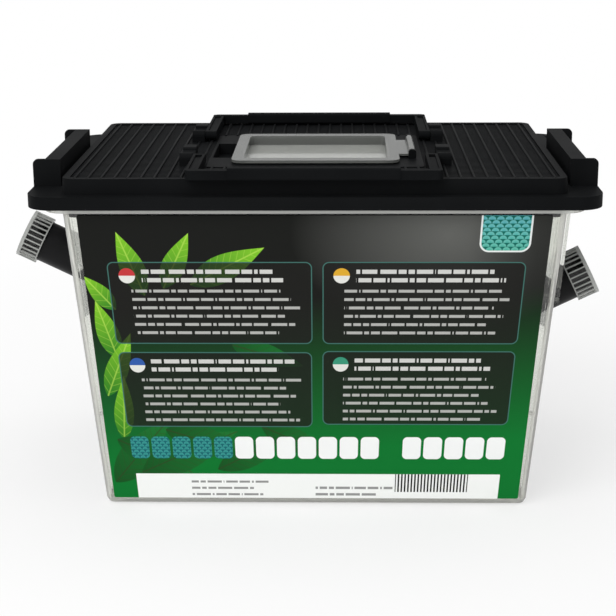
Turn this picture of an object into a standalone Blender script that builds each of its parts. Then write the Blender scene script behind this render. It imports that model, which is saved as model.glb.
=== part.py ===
"""Cricket keeper box: clear tub, black vented lid with a hatch and two handles, and two hide tubes.

Metres, +Z up. The origin is the middle of the tub's underside. +X runs along the length, and the
labelled front faces -Y. Every piece is one named object; moving pieces have their origin on their axis.
"""

import math

import bmesh
import bpy
from mathutils import Matrix, Vector

# Clearances shared by every fit
GAP = 0.0003
OVERRUN = 0.004
SINK = 0.0004

# Tub: outside sizes at the mouth, drafted inwards to the floor
TUB_HEIGHT = 0.1763
TUB_MOUTH_LENGTH = 0.2646
TUB_MOUTH_DEPTH = 0.1892
TUB_DRAFT = math.radians(4.96)
TUB_WALL = 0.0020
TUB_FLOOR = 0.0025
TUB_CORNER_RADIUS = 0.0050
TUB_FLOOR_RADIUS = 0.0035

# Flange under the lid, a plate with a lip that hangs down
FLANGE_LENGTH = 0.2820
FLANGE_DEPTH = 0.1946
FLANGE_THICKNESS = 0.0020
FLANGE_LIP_DEPTH = 0.0066
FLANGE_LIP_WALL = 0.0016
FLANGE_CORNER_RADIUS = 0.0110

# Port bump in each end wall, which the hide tube passes through
PORT_WIDTH = 0.0520
PORT_PROJECTION = 0.0085
PORT_FLOOR_DROP = 0.0680
PORT_AXIS_DROP = 0.0638

# Lid rim and raised vent deck
LID_LENGTH = 0.3000
LID_DEPTH = 0.2004
LID_WALL = 0.0022
RIM_HEIGHT = 0.0069
RIM_CORNER_RADIUS = 0.0140
RIM_EDGE_RADIUS = 0.0008
END_LEDGE = 0.0187
SIDE_LEDGE = 0.0070
DECK_RISE = 0.0083
DECK_DRAFT = 0.0006
DECK_WALL = 0.0020
DECK_CORNER_RADIUS = 0.0060
BEAD_WIDTH = 0.0016
SKIRT_DEPTH = 0.0100
SKIRT_WALL = 0.0016
SKIRT_CLEARANCE = 0.0004

# Vent grille: slots along the length, bridged by raised ribs across the depth
RIB_PITCH = 0.0070
RIB_WIDTH = 0.0013
RIB_HEIGHT = 0.0008
SLOT_PITCH = 0.0106
SLOT_WIDTH = 0.0034
GRILLE_MARGIN = 0.0050

# Hatch, its opening and its hinge; the handles are centred on it too
FITTINGS_SHIFT = -0.0055
HATCH_LENGTH = 0.0920
HATCH_DEPTH = 0.0890
HATCH_RIM_SIDE = 0.0050
HATCH_RIM_DEPTHWISE = 0.0070
HATCH_RIM_THICKNESS = 0.0013
HATCH_TRAY_DEPTH = 0.0052
HATCH_WALL = 0.0014
HATCH_CORNER_RADIUS = 0.0060
HATCH_CLEARANCE = 0.0009
HATCH_TONGUE_WIDTH = 0.0460
HATCH_TONGUE_REACH = 0.0075
HINGE_RADIUS = 0.0021
HINGE_PIN_RADIUS = 0.0011
HINGE_PIN_LENGTH = 0.0026
KNUCKLE_WIDTH = 0.0036
WELL_DEPTH = 0.0040
WELL_WALL = 0.0016
SOLID_BORDER = 0.0105

# Finger recess on the hatch's free side
RECESS_WIDTH = 0.0110
RECESS_DEPTH = 0.0060
RECESS_WALL = 0.0014

# Carrying handles; the front one is shorter, because it starts closer to its edge of the lid
FRONT_REACH = 0.0520
REAR_REACH = 0.0645
FRONT_PIVOT = -0.0480
REAR_PIVOT = 0.0280
HANDLE_WIDTH = 0.1326
ARM_WIDTH = 0.0066
ARM_THICKNESS = 0.0050
ARM_CHANNEL_WIDTH = 0.0030
ARM_CHANNEL_DEPTH = 0.0014
CORNER_BAR_DEPTH = 0.0054
CORNER_BAR_HEIGHT = 0.0042
GRIP_LENGTH = 0.0890
GRIP_DEPTH = 0.0066
GRIP_HEIGHT = 0.0064
GRIP_RADIUS = 0.0014
CORNER_RADIUS = 0.0030
PIVOT_PIN_RADIUS = 0.0015
PIVOT_PIN_LENGTH = 0.0050
EAR_WIDTH = 0.0072
EAR_DEPTH = 0.0090
EAR_HEIGHT = 0.0064
EAR_RADIUS = 0.0028
BLOCK_SETBACK = 0.0180
BLOCK_DEPTH = 0.0105
WEB_HEIGHT = 0.0024

# End lugs of the lid, hollow from the outside as finger grips
LUG_WIDTH = 0.0147
LUG_RISE = 0.0145
LUG_LENGTH = 0.1000
LUG_SHIFT = -0.0200
LUG_WALL = 0.0022
LUG_RECESS = 0.0064
LUG_CHAMFER = 0.0019

# Hide tubes and their caps
TUBE_RADIUS = 0.0123
TUBE_WALL = 0.0015
TUBE_SLOPE = math.radians(26.0)
TUBE_OFFSET = 0.0240
LEFT_TUBE_DRAW = 0.0230
CAP_LENGTH = 0.0125
CAP_END_THICKNESS = 0.0020
CAP_SKIRT_RADIUS = 0.0136
CAP_RADIUS = 0.0143
CAP_RIBS = 28

# Dishes on the floor
DISH_RADIUS = 0.0270
DISH_FOOT_RADIUS = 0.0210
DISH_HEIGHT = 0.0140
DISH_WALL = 0.0016
DISH_RIM_WIDTH = 0.0030
DISH_ALONG = 0.0620
DISH_WALL_CLEARANCE = 0.0045
GRID_THICKNESS = 0.0014
GRID_SLOT_WIDTH = 0.0016
GRID_SLOT_PITCH = 0.0046
GRID_LEDGE = 0.0018
GRID_DROP = 0.0022

# Label film on the front wall
LABEL_THICKNESS = 0.0004
LABEL_TOP_MARGIN = 0.0015
LABEL_BOTTOM_MARGIN = 0.0010
LABEL_TOP_SIDE_MARGIN = 0.0078
LABEL_BOTTOM_SIDE_MARGIN = 0.0052
LABEL_CORNER_RADIUS = 0.0010

# Levels and half sizes that follow
TAPER = math.tan(TUB_DRAFT)
LEDGE_UNDERSIDE = TUB_HEIGHT + GAP
LEDGE_TOP = LEDGE_UNDERSIDE + LID_WALL
RIM_BOTTOM = LEDGE_TOP - RIM_HEIGHT
DECK_TOP = LEDGE_TOP + DECK_RISE
PLATE_TOP = DECK_TOP - RIB_HEIGHT
PLATE_BOTTOM = PLATE_TOP - DECK_WALL
DECK_HALF_LENGTH = LID_LENGTH / 2 - END_LEDGE
DECK_HALF_DEPTH = LID_DEPTH / 2 - SIDE_LEDGE - DECK_DRAFT
ARM_BOTTOM = DECK_TOP + GAP
PIVOT_HEIGHT = ARM_BOTTOM + ARM_THICKNESS / 2
HINGE_HEIGHT = DECK_TOP + GAP + HINGE_RADIUS
HINGE_X = HATCH_LENGTH / 2 + HATCH_TONGUE_REACH
PORT_AXIS_HEIGHT = TUB_HEIGHT - PORT_AXIS_DROP

PARTS = "cricket_keeper_box"
CUTTERS = "cutters"


def start_scene():
    """Empty the scene and make the two collections."""
    for item in list(bpy.data.objects):
        bpy.data.objects.remove(item, do_unlink=True)
    for name in (PARTS, CUTTERS):
        home = bpy.data.collections.new(name)
        bpy.context.scene.collection.children.link(home)


def material(name, colour, roughness, metallic=0.0, alpha=1.0):
    """A plain Principled material."""
    made = bpy.data.materials.new(name)
    made.use_nodes = True
    shader = made.node_tree.nodes["Principled BSDF"]
    shader.inputs["Base Color"].default_value = (*colour, 1.0)
    shader.inputs["Roughness"].default_value = roughness
    shader.inputs["Metallic"].default_value = metallic
    shader.inputs["Alpha"].default_value = alpha
    made.diffuse_color = (*colour, alpha)
    return made


def add_object(name, bm, home=CUTTERS, origin=(0, 0, 0)):
    """Turn a bmesh in world coordinates into an object whose origin is at the given point."""
    bmesh.ops.recalc_face_normals(bm, faces=bm.faces)
    mesh = bpy.data.meshes.new(name)
    bm.to_mesh(mesh)
    bm.free()
    made = bpy.data.objects.new(name, mesh)
    bpy.data.collections[home].objects.link(made)
    mesh.transform(Matrix.Translation(-Vector(origin)))
    made.location = origin
    if home == CUTTERS:
        made.hide_render = True
        made.display_type = "WIRE"
    return made


def finish(piece, look, angle=math.radians(35)):
    """Give a part its material and smooth its round faces."""
    piece.data.materials.append(look)
    piece.data.shade_smooth()
    piece.data.set_sharp_from_angle(angle=angle)


def boolean(target, tool, operation):
    """Add a live exact Boolean to the target."""
    step = target.modifiers.new(tool.name, "BOOLEAN")
    step.operation = operation
    step.solver = "EXACT"
    step.object = tool


def cut(target, tool):
    """Cut the tool out of the target."""
    boolean(target, tool, "DIFFERENCE")


def join(target, tool):
    """Join the tool to the target."""
    boolean(target, tool, "UNION")


def box_mesh(low, high):
    """A box between two corners, as a bmesh."""
    bm = bmesh.new()
    bmesh.ops.create_cube(bm, size=1.0)
    size = [b - a for a, b in zip(low, high)]
    middle = [(a + b) / 2 for a, b in zip(low, high)]
    bmesh.ops.scale(bm, vec=size, verts=bm.verts)
    bmesh.ops.translate(bm, vec=middle, verts=bm.verts)
    return bm


def edges_along(bm, axis):
    """The edges whose two ends differ mostly along one axis."""
    chosen = []
    for edge in bm.edges:
        run = edge.verts[1].co - edge.verts[0].co
        if abs(run[axis]) > run.length / 2:
            chosen.append(edge)
    return chosen


def round_edges(bm, edges, radius, segments=3):
    """Bevel edges with a round profile."""
    bmesh.ops.bevel(
        bm, geom=edges, offset=radius, segments=segments, profile=0.5, affect="EDGES", clamp_overlap=True
    )


def block(name, low, high, home=CUTTERS, origin=(0, 0, 0)):
    """A plain box."""
    return add_object(name, box_mesh(low, high), home, origin)


def plan_prism(half_x, half_y, bottom, top, radius, spread=0.0, segments=4, middle=(0, 0)):
    """A prism with rounded plan corners, whose half sizes shrink by spread from bottom to top."""
    bm = box_mesh((-half_x, -half_y, bottom), (half_x, half_y, top))
    for vert in bm.verts:
        if vert.co.z > (bottom + top) / 2:
            vert.co.x -= spread * math.copysign(1, vert.co.x)
            vert.co.y -= spread * math.copysign(1, vert.co.y)
    round_edges(bm, edges_along(bm, 2), radius, segments)
    bmesh.ops.translate(bm, vec=(middle[0], middle[1], 0), verts=bm.verts)
    return bm


def level_edges(bm, height):
    """The edges that lie flat at a height."""
    close = GAP / 2
    return [e for e in bm.edges if all(abs(v.co.z - height) < close for v in e.verts)]


def rod(name, radius, start, end, sides=24, home=CUTTERS, origin=(0, 0, 0)):
    """A cylinder between two points."""
    start, end = Vector(start), Vector(end)
    bm = bmesh.new()
    bmesh.ops.create_cone(
        bm, cap_ends=True, segments=sides, radius1=radius, radius2=radius, depth=(end - start).length
    )
    turn = Vector((0, 0, 1)).rotation_difference(end - start).to_matrix().to_4x4()
    bm.transform(Matrix.Translation((start + end) / 2) @ turn)
    return add_object(name, bm, home, origin)


def tub_half(mouth, height):
    """Half of a mouth size, drafted down to a height on the outside of the tub."""
    return mouth / 2 - (TUB_HEIGHT - height) * TAPER


def tub_solid(inset, bottom, top, corner, floor_radius):
    """A drafted solid that follows the tub's outside at an inset, rounded at its corners and floor."""
    low_x = tub_half(TUB_MOUTH_LENGTH, bottom) - inset
    low_y = tub_half(TUB_MOUTH_DEPTH, bottom) - inset
    bm = plan_prism(low_x, low_y, bottom, top, corner, spread=-(top - bottom) * TAPER)
    round_edges(bm, level_edges(bm, bottom), floor_radius, 2)
    return bm


def port_solid(side, inset, bottom, top):
    """A drafted bump on one end wall, from inside the tub to the port's face."""
    reach = PORT_PROJECTION - inset
    low = tub_half(TUB_MOUTH_LENGTH, bottom) + reach
    high = tub_half(TUB_MOUTH_LENGTH, top) + reach
    inner = tub_half(TUB_MOUTH_LENGTH, bottom) - TUB_WALL - PORT_PROJECTION
    half = PORT_WIDTH / 2 - inset
    middle = -side * TUBE_OFFSET
    bm = box_mesh((inner, middle - half, bottom), (low, middle + half, top))
    for vert in bm.verts:
        if vert.co.x > inner + GAP and vert.co.z > bottom + GAP:
            vert.co.x = high
    if side < 0:
        bmesh.ops.scale(bm, vec=(-1, 1, 1), verts=bm.verts)
        bmesh.ops.reverse_faces(bm, faces=bm.faces)
    return bm


def tube_direction(side):
    """The way a tube slides out: outwards and up."""
    return Vector((side * math.cos(TUBE_SLOPE), 0, math.sin(TUBE_SLOPE)))


def port_point(side):
    """Where a tube's axis crosses its port's face."""
    face = tub_half(TUB_MOUTH_LENGTH, PORT_AXIS_HEIGHT) + PORT_PROJECTION
    return Vector((side * face, -side * TUBE_OFFSET, PORT_AXIS_HEIGHT))


def cap_stand_off():
    """Distance along the axis from the port's face to the cap, whose upper edge meets the face first."""
    rise, run = math.sin(TUBE_SLOPE), math.cos(TUBE_SLOPE)
    return (CAP_RADIUS * (rise + run * TAPER) + GAP) / (run - rise * TAPER)


def tube_draw(side):
    """How far a tube is drawn out at rest."""
    return LEFT_TUBE_DRAW if side < 0 else 0.0


def cap_mouth(side):
    """The middle of the cap's open end at rest."""
    return port_point(side) + tube_direction(side) * (cap_stand_off() + tube_draw(side))


def tube_outer_end(side):
    """The middle of the tube's outer end, just under the cap's end plate."""
    return cap_mouth(side) + tube_direction(side) * (CAP_LENGTH - CAP_END_THICKNESS - GAP)


def tube_length():
    """Long enough that a tube pushed home stands on the floor with its lower edge."""
    home = tube_outer_end(1)
    lowest = TUB_FLOOR + GAP + TUBE_RADIUS * math.cos(TUBE_SLOPE)
    return (home.z - lowest) / math.sin(TUBE_SLOPE)


def build_tub(look):
    """Clear tub: drafted shell, flange with a hanging lip, and two ports bored for the tubes."""
    shell = tub_solid(0, 0, TUB_HEIGHT, TUB_CORNER_RADIUS, TUB_FLOOR_RADIUS)
    tub = add_object("tub", shell, PARTS)
    flange = plan_prism(
        FLANGE_LENGTH / 2, FLANGE_DEPTH / 2, TUB_HEIGHT - FLANGE_LIP_DEPTH, TUB_HEIGHT, FLANGE_CORNER_RADIUS
    )
    flange_block = add_object("flange_block", flange)
    under = plan_prism(
        FLANGE_LENGTH / 2 - FLANGE_LIP_WALL,
        FLANGE_DEPTH / 2 - FLANGE_LIP_WALL,
        TUB_HEIGHT - FLANGE_LIP_DEPTH - OVERRUN,
        TUB_HEIGHT - FLANGE_THICKNESS,
        FLANGE_CORNER_RADIUS - FLANGE_LIP_WALL,
    )
    cut(flange_block, add_object("flange_under", under))
    join(tub, flange_block)
    port_bottom = TUB_HEIGHT - PORT_FLOOR_DROP
    port_top = TUB_HEIGHT - FLANGE_THICKNESS / 2
    for side in (-1, 1):
        join(tub, add_object(f"port_{side}", port_solid(side, 0, port_bottom, port_top)))
    inside = tub_solid(
        TUB_WALL, TUB_FLOOR, TUB_HEIGHT + OVERRUN, TUB_CORNER_RADIUS - TUB_WALL, TUB_FLOOR_RADIUS - TUB_WALL
    )
    cut(tub, add_object("tub_inside", inside))
    inner_top = TUB_HEIGHT - FLANGE_THICKNESS - TUB_WALL
    for side in (-1, 1):
        hollow = port_solid(side, TUB_WALL, port_bottom + TUB_WALL, inner_top)
        cut(tub, add_object(f"port_hollow_{side}", hollow))
        start = port_point(side) - tube_direction(side) * (PORT_PROJECTION + TUBE_RADIUS * 2)
        end = port_point(side) + tube_direction(side) * TUBE_RADIUS * 2
        cut(tub, rod(f"port_bore_{side}", TUBE_RADIUS + GAP, start, end, 32))
    finish(tub, look)
    return tub


def slot_rows():
    """Places of the grille's slots across the depth, evenly spread and centred."""
    usable = DECK_HALF_DEPTH - BEAD_WIDTH - GRILLE_MARGIN
    count = int(usable / SLOT_PITCH)
    return [row * SLOT_PITCH for row in range(-count, count + 1)]


def rib_places():
    """Places of the raised ribs along the length, evenly spread and centred."""
    usable = DECK_HALF_LENGTH - BEAD_WIDTH - RIB_PITCH / 2
    count = int(usable / RIB_PITCH)
    return [rib * RIB_PITCH for rib in range(-count, count + 1)]


def fittings_zone():
    """The solid part of the deck under the hatch, the handles' arms and the ears."""
    half_x = HANDLE_WIDTH / 2 + EAR_WIDTH + RIB_PITCH / 2
    half_y = HATCH_DEPTH / 2 + SOLID_BORDER / 2
    return half_x, FITTINGS_SHIFT - half_y, FITTINGS_SHIFT + half_y


def merged(name, pieces):
    """Put separate boxes, given by their corners, in one tool."""
    whole = bmesh.new()
    for low, high in pieces:
        part = box_mesh(low, high)
        mesh = bpy.data.meshes.new(name)
        part.to_mesh(mesh)
        part.free()
        whole.from_mesh(mesh)
        bpy.data.meshes.remove(mesh)
    return add_object(name, whole)


def grille_tools():
    """The cutter for all slots and the tool for all ribs."""
    zone_x, zone_front, zone_back = fittings_zone()
    edge_x = DECK_HALF_LENGTH - BEAD_WIDTH - GRILLE_MARGIN
    edge_y = DECK_HALF_DEPTH - BEAD_WIDTH / 2
    low, high = PLATE_BOTTOM - OVERRUN, PLATE_TOP + OVERRUN
    slots = []
    for place in slot_rows():
        front, back = place - SLOT_WIDTH / 2, place + SLOT_WIDTH / 2
        if back < zone_front or front > zone_back:
            slots.append(((-edge_x, front, low), (edge_x, back, high)))
        else:
            slots.append(((-edge_x, front, low), (-zone_x, back, high)))
            slots.append(((zone_x, front, low), (edge_x, back, high)))
    ribs = []
    rib_low, rib_high = PLATE_TOP - SINK, DECK_TOP - SINK / 4
    for place in rib_places():
        left, right = place - RIB_WIDTH / 2, place + RIB_WIDTH / 2
        if abs(place) > zone_x:
            ribs.append(((left, -edge_y, rib_low), (right, edge_y, rib_high)))
        else:
            ribs.append(((left, -edge_y, rib_low), (right, zone_front, rib_high)))
            ribs.append(((left, zone_back, rib_low), (right, edge_y, rib_high)))
    return merged("grille_slots", slots), merged("grille_ribs", ribs)


def lug(side):
    """One end lug: an inner wall and a top plate between two end walls, open to the outside."""
    outer = LID_LENGTH / 2
    inner = outer - LUG_WIDTH
    front = LUG_SHIFT - LUG_LENGTH / 2
    back = LUG_SHIFT + LUG_LENGTH / 2
    top = LEDGE_TOP + LUG_RISE
    bm = box_mesh((inner, front, LEDGE_TOP - SINK), (outer, back, top))
    corner = [e for e in edges_along(bm, 1) if all(v.co.x > inner + GAP and v.co.z > top - GAP for v in e.verts)]
    round_edges(bm, corner, LUG_CHAMFER, 2)
    solid = add_object(f"lug_{side}", bm)
    pocket = box_mesh(
        (inner + LUG_WALL, front + LUG_WALL, LEDGE_TOP), (outer + OVERRUN, back - LUG_WALL, top - LUG_WALL)
    )
    cut(solid, add_object(f"lug_pocket_{side}", pocket))
    scoop = box_mesh(
        (outer - LUG_RECESS, front + LUG_WALL, top - LUG_WALL - OVERRUN),
        (outer + OVERRUN, back - LUG_WALL, top + OVERRUN),
    )
    cut(solid, add_object(f"lug_scoop_{side}", scoop))
    if side < 0:
        for piece in [solid] + [m.object for m in solid.modifiers]:
            piece.data.transform(Matrix.Scale(-1, 4, (1, 0, 0)))
            piece.data.flip_normals()
    return solid


def ear_tools(side, name, pivot):
    """One handle ear with the block behind it that the web ties on, and the bore for the handle's pin."""
    inner = HANDLE_WIDTH / 2 + GAP
    low = PLATE_TOP - SINK
    top = PLATE_TOP + EAR_HEIGHT
    shoulder = top - EAR_RADIUS
    web = PLATE_TOP + WEB_HEIGHT
    front, back = pivot - EAR_DEPTH / 2, pivot + EAR_DEPTH / 2
    block_front = pivot + BLOCK_SETBACK
    block_back = block_front + BLOCK_DEPTH
    outline = [(front, low), (front, shoulder)]
    for step in range(1, 4):
        turn = math.pi * step / 8
        outline.append((front + EAR_RADIUS * (1 - math.cos(turn)), shoulder + EAR_RADIUS * math.sin(turn)))
    outline += [(front + EAR_RADIUS, top), (back - EAR_RADIUS, top)]
    for step in range(3, 0, -1):
        turn = math.pi * step / 8
        outline.append((back - EAR_RADIUS * (1 - math.cos(turn)), shoulder + EAR_RADIUS * math.sin(turn)))
    outline += [(back, shoulder), (back, web), (block_front, web)]
    outline += [(block_front + EAR_RADIUS / 2, top), (block_back, top), (block_back, low)]
    bm = bmesh.new()
    face = bm.faces.new([bm.verts.new((side * inner, y, z)) for y, z in outline])
    grown = bmesh.ops.extrude_face_region(bm, geom=[face])
    outers = [v for v in grown["geom"] if isinstance(v, bmesh.types.BMVert)]
    bmesh.ops.translate(bm, vec=(side * EAR_WIDTH, 0, 0), verts=outers)
    ear = add_object(f"{name}_ear_{side}", bm)
    reach = side * (inner + PIVOT_PIN_LENGTH + GAP)
    bore = rod(
        f"{name}_ear_bore_{side}",
        PIVOT_PIN_RADIUS + GAP,
        (side * (inner - OVERRUN), pivot, PIVOT_HEIGHT),
        (reach, pivot, PIVOT_HEIGHT),
        12,
    )
    return ear, bore


def add_hatch_seat(lid):
    """Opening with a well wall, knuckles for the hatch's pins, and the finger recess."""
    half_x = HATCH_LENGTH / 2 - HATCH_RIM_SIDE + HATCH_CLEARANCE
    half_y = HATCH_DEPTH / 2 - HATCH_RIM_DEPTHWISE + HATCH_CLEARANCE
    middle = (0, FITTINGS_SHIFT)
    corner = HATCH_CORNER_RADIUS - HATCH_WALL
    well = plan_prism(
        half_x + WELL_WALL,
        half_y + WELL_WALL,
        PLATE_BOTTOM - WELL_DEPTH,
        PLATE_BOTTOM + SINK,
        corner + WELL_WALL,
        middle=middle,
        segments=2,
    )
    join(lid, add_object("well_wall", well))
    back = FITTINGS_SHIFT + HATCH_TONGUE_WIDTH / 2
    front = FITTINGS_SHIFT - HATCH_TONGUE_WIDTH / 2
    recess_right = -half_x - WELL_WALL
    recess_left = recess_right - RECESS_WIDTH
    pit_bottom = PLATE_TOP - RECESS_DEPTH
    outer = block(
        "recess_box",
        (recess_left - RECESS_WALL, front - RECESS_WALL, pit_bottom - RECESS_WALL),
        (recess_right + WELL_WALL / 2, back + RECESS_WALL, PLATE_BOTTOM + SINK),
    )
    join(lid, outer)
    cut(lid, block("recess_pit", (recess_left, front, pit_bottom), (recess_right, back, PLATE_TOP + OVERRUN)))
    opening = plan_prism(
        half_x,
        half_y,
        PLATE_BOTTOM - WELL_DEPTH - OVERRUN,
        PLATE_TOP + OVERRUN,
        corner,
        middle=middle,
        segments=2,
    )
    cut(lid, add_object("hatch_opening", opening))
    for end in (-1, 1):
        near = FITTINGS_SHIFT + end * (HATCH_TONGUE_WIDTH / 2 + GAP)
        far = near + end * KNUCKLE_WIDTH
        ys = sorted((near, far))
        low = (HINGE_X - HINGE_RADIUS, ys[0], PLATE_TOP - SINK)
        high = (HINGE_X + HINGE_RADIUS, ys[1], HINGE_HEIGHT + HINGE_RADIUS)
        bm = box_mesh(low, high)
        crown = [e for e in edges_along(bm, 1) if e.verts[0].co.z > HINGE_HEIGHT]
        round_edges(bm, crown, HINGE_RADIUS * 0.8, 3)
        join(lid, add_object(f"knuckle_{end}", bm))
        bore_end = near + end * (HINGE_PIN_LENGTH + GAP)
        start = (HINGE_X, near - end * OVERRUN, HINGE_HEIGHT)
        cut(lid, rod(f"knuckle_bore_{end}", HINGE_PIN_RADIUS + GAP, start, (HINGE_X, bore_end, HINGE_HEIGHT), 12))


def build_lid(look):
    """Black lid: hollow rim and deck, vent grille, lugs, ears, hatch seat and locating skirt."""
    rim = plan_prism(LID_LENGTH / 2, LID_DEPTH / 2, RIM_BOTTOM, LEDGE_TOP, RIM_CORNER_RADIUS, segments=5)
    round_edges(rim, level_edges(rim, LEDGE_TOP), RIM_EDGE_RADIUS, 1)
    lid = add_object("lid", rim, PARTS, (0, 0, LEDGE_UNDERSIDE))
    deck = plan_prism(
        DECK_HALF_LENGTH + DECK_DRAFT,
        DECK_HALF_DEPTH + DECK_DRAFT,
        LEDGE_TOP - SINK,
        DECK_TOP,
        DECK_CORNER_RADIUS,
        spread=DECK_DRAFT,
    )
    join(lid, add_object("deck", deck))
    rim_hollow = plan_prism(
        LID_LENGTH / 2 - LID_WALL,
        LID_DEPTH / 2 - LID_WALL,
        RIM_BOTTOM - OVERRUN,
        LEDGE_UNDERSIDE,
        RIM_CORNER_RADIUS - LID_WALL,
    )
    cut(lid, add_object("rim_hollow", rim_hollow))
    skirt_bottom = LEDGE_UNDERSIDE - SKIRT_DEPTH
    skirt_x = tub_half(TUB_MOUTH_LENGTH, skirt_bottom) - TUB_WALL - SKIRT_CLEARANCE
    skirt_y = tub_half(TUB_MOUTH_DEPTH, skirt_bottom) - TUB_WALL - SKIRT_CLEARANCE
    skirt = plan_prism(skirt_x, skirt_y, skirt_bottom, LEDGE_UNDERSIDE + SINK, TUB_CORNER_RADIUS)
    join(lid, add_object("skirt", skirt))
    hollow_x = min(skirt_x - SKIRT_WALL, DECK_HALF_LENGTH - DECK_WALL)
    hollow_y = min(skirt_y - SKIRT_WALL, DECK_HALF_DEPTH - DECK_WALL)
    hollow = plan_prism(hollow_x, hollow_y, skirt_bottom - OVERRUN, PLATE_BOTTOM, DECK_CORNER_RADIUS - DECK_WALL)
    cut(lid, add_object("deck_hollow", hollow))
    tray = plan_prism(
        DECK_HALF_LENGTH - BEAD_WIDTH,
        DECK_HALF_DEPTH - BEAD_WIDTH,
        PLATE_TOP,
        PLATE_TOP + OVERRUN,
        DECK_CORNER_RADIUS - BEAD_WIDTH,
    )
    cut(lid, add_object("deck_tray", tray))
    add_hatch_seat(lid)
    slots, ribs = grille_tools()
    cut(lid, slots)
    join(lid, ribs)
    for side in (-1, 1):
        join(lid, lug(side))
        for name, pivot in (("front", FRONT_PIVOT), ("rear", REAR_PIVOT)):
            ear, bore = ear_tools(side, name, pivot)
            join(lid, ear)
            cut(lid, bore)
    finish(lid, look)
    return lid


def build_hatch(look):
    """Clear hatch: a rim that lies on the deck, a sunk pane, and a tongue with barrel and pins."""
    axis = (HINGE_X, FITTINGS_SHIFT, HINGE_HEIGHT)
    rim_low = DECK_TOP + GAP
    rim_high = rim_low + HATCH_RIM_THICKNESS
    middle = (0, FITTINGS_SHIFT)
    rim = plan_prism(
        HATCH_LENGTH / 2, HATCH_DEPTH / 2, rim_low, rim_high, HATCH_CORNER_RADIUS, segments=3, middle=middle
    )
    hatch = add_object("hatch", rim, PARTS, axis)
    tray_x = HATCH_LENGTH / 2 - HATCH_RIM_SIDE
    tray_y = HATCH_DEPTH / 2 - HATCH_RIM_DEPTHWISE
    tray_bottom = rim_low - HATCH_TRAY_DEPTH
    corner = HATCH_CORNER_RADIUS - HATCH_WALL
    tray = plan_prism(tray_x, tray_y, tray_bottom, rim_low + SINK, corner, middle=middle, segments=3)
    join(hatch, add_object("hatch_tray", tray))
    sunk = plan_prism(
        tray_x - HATCH_WALL,
        tray_y - HATCH_WALL,
        tray_bottom + HATCH_WALL,
        rim_high + OVERRUN,
        corner - HATCH_WALL,
        middle=middle,
        segments=3,
    )
    cut(hatch, add_object("hatch_sunk", sunk))
    front = FITTINGS_SHIFT - HATCH_TONGUE_WIDTH / 2
    back = FITTINGS_SHIFT + HATCH_TONGUE_WIDTH / 2
    tongue = block(
        "tongue", (HATCH_LENGTH / 2 - SINK * 2, front, rim_low + SINK / 2), (HINGE_X, back, rim_high - SINK / 2)
    )
    join(hatch, tongue)
    join(hatch, rod("barrel", HINGE_RADIUS, (HINGE_X, front, HINGE_HEIGHT), (HINGE_X, back, HINGE_HEIGHT), 16))
    pin_front = front - GAP - HINGE_PIN_LENGTH
    pin_back = back + GAP + HINGE_PIN_LENGTH
    pins = rod("hatch_pins", HINGE_PIN_RADIUS, (HINGE_X, pin_front, HINGE_HEIGHT), (HINGE_X, pin_back, HINGE_HEIGHT), 12)
    join(hatch, pins)
    finish(hatch, look)
    return hatch


def build_handle(name, end, pivot, reach, look):
    """One U-shaped handle, folded flat: grip, thinner corner bars, channelled arms and pivot pins."""
    half = HANDLE_WIDTH / 2

    def span(name, low_x, high_x, near, far, low_z, high_z):
        """A box given by distances outwards from the pivot."""
        ys = sorted((pivot + end * near, pivot + end * far))
        return name, (low_x, ys[0], low_z), (high_x, ys[1], high_z)

    label, low, high = span(
        name,
        -GRIP_LENGTH / 2,
        GRIP_LENGTH / 2,
        reach - GRIP_DEPTH,
        reach,
        ARM_BOTTOM,
        ARM_BOTTOM + GRIP_HEIGHT,
    )
    grip = box_mesh(low, high)
    round_edges(grip, edges_along(grip, 0), GRIP_RADIUS, 3)
    handle = add_object(label, grip, PARTS, (0, pivot, PIVOT_HEIGHT))
    bar_inset = (GRIP_DEPTH - CORNER_BAR_DEPTH) / 2
    bar_low = ARM_BOTTOM + (GRIP_HEIGHT - CORNER_BAR_HEIGHT) / 2
    label, low, high = span(
        f"{name}_bar",
        -half,
        half,
        reach - bar_inset - CORNER_BAR_DEPTH,
        reach - bar_inset,
        bar_low,
        bar_low + CORNER_BAR_HEIGHT,
    )
    bar = box_mesh(low, high)
    beyond = end * pivot + reach - GRIP_DEPTH / 2
    far_corners = [e for e in edges_along(bar, 2) if end * e.verts[0].co.y > beyond]
    round_edges(bar, far_corners, CORNER_RADIUS, 3)
    join(handle, add_object(label, bar))
    arm_end = reach - bar_inset - CORNER_BAR_DEPTH / 2
    for side in (-1, 1):
        xs = sorted((side * half, side * (half - ARM_WIDTH)))
        label, low, high = span(
            f"{name}_arm_{side}", xs[0], xs[1], 0, arm_end, ARM_BOTTOM, ARM_BOTTOM + ARM_THICKNESS
        )
        join(handle, block(label, low, high))
        boss_start = (xs[0], pivot, PIVOT_HEIGHT)
        join(handle, rod(f"{name}_boss_{side}", ARM_THICKNESS / 2, boss_start, (xs[1], pivot, PIVOT_HEIGHT), 16))
        centre = side * (half - ARM_WIDTH / 2)
        label, low, high = span(
            f"{name}_channel_{side}",
            centre - ARM_CHANNEL_WIDTH / 2,
            centre + ARM_CHANNEL_WIDTH / 2,
            ARM_THICKNESS / 2,
            arm_end - CORNER_BAR_DEPTH / 2 - ARM_CHANNEL_DEPTH,
            ARM_BOTTOM + ARM_THICKNESS - ARM_CHANNEL_DEPTH,
            ARM_BOTTOM + ARM_THICKNESS + OVERRUN,
        )
        cut(handle, block(label, low, high))
        tip = side * (half + GAP + PIVOT_PIN_LENGTH - GAP)
        start = (side * (half - ARM_WIDTH / 2), pivot, PIVOT_HEIGHT)
        join(handle, rod(f"{name}_pin_{side}", PIVOT_PIN_RADIUS, start, (tip, pivot, PIVOT_HEIGHT), 12))
    finish(handle, look)
    return handle


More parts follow.
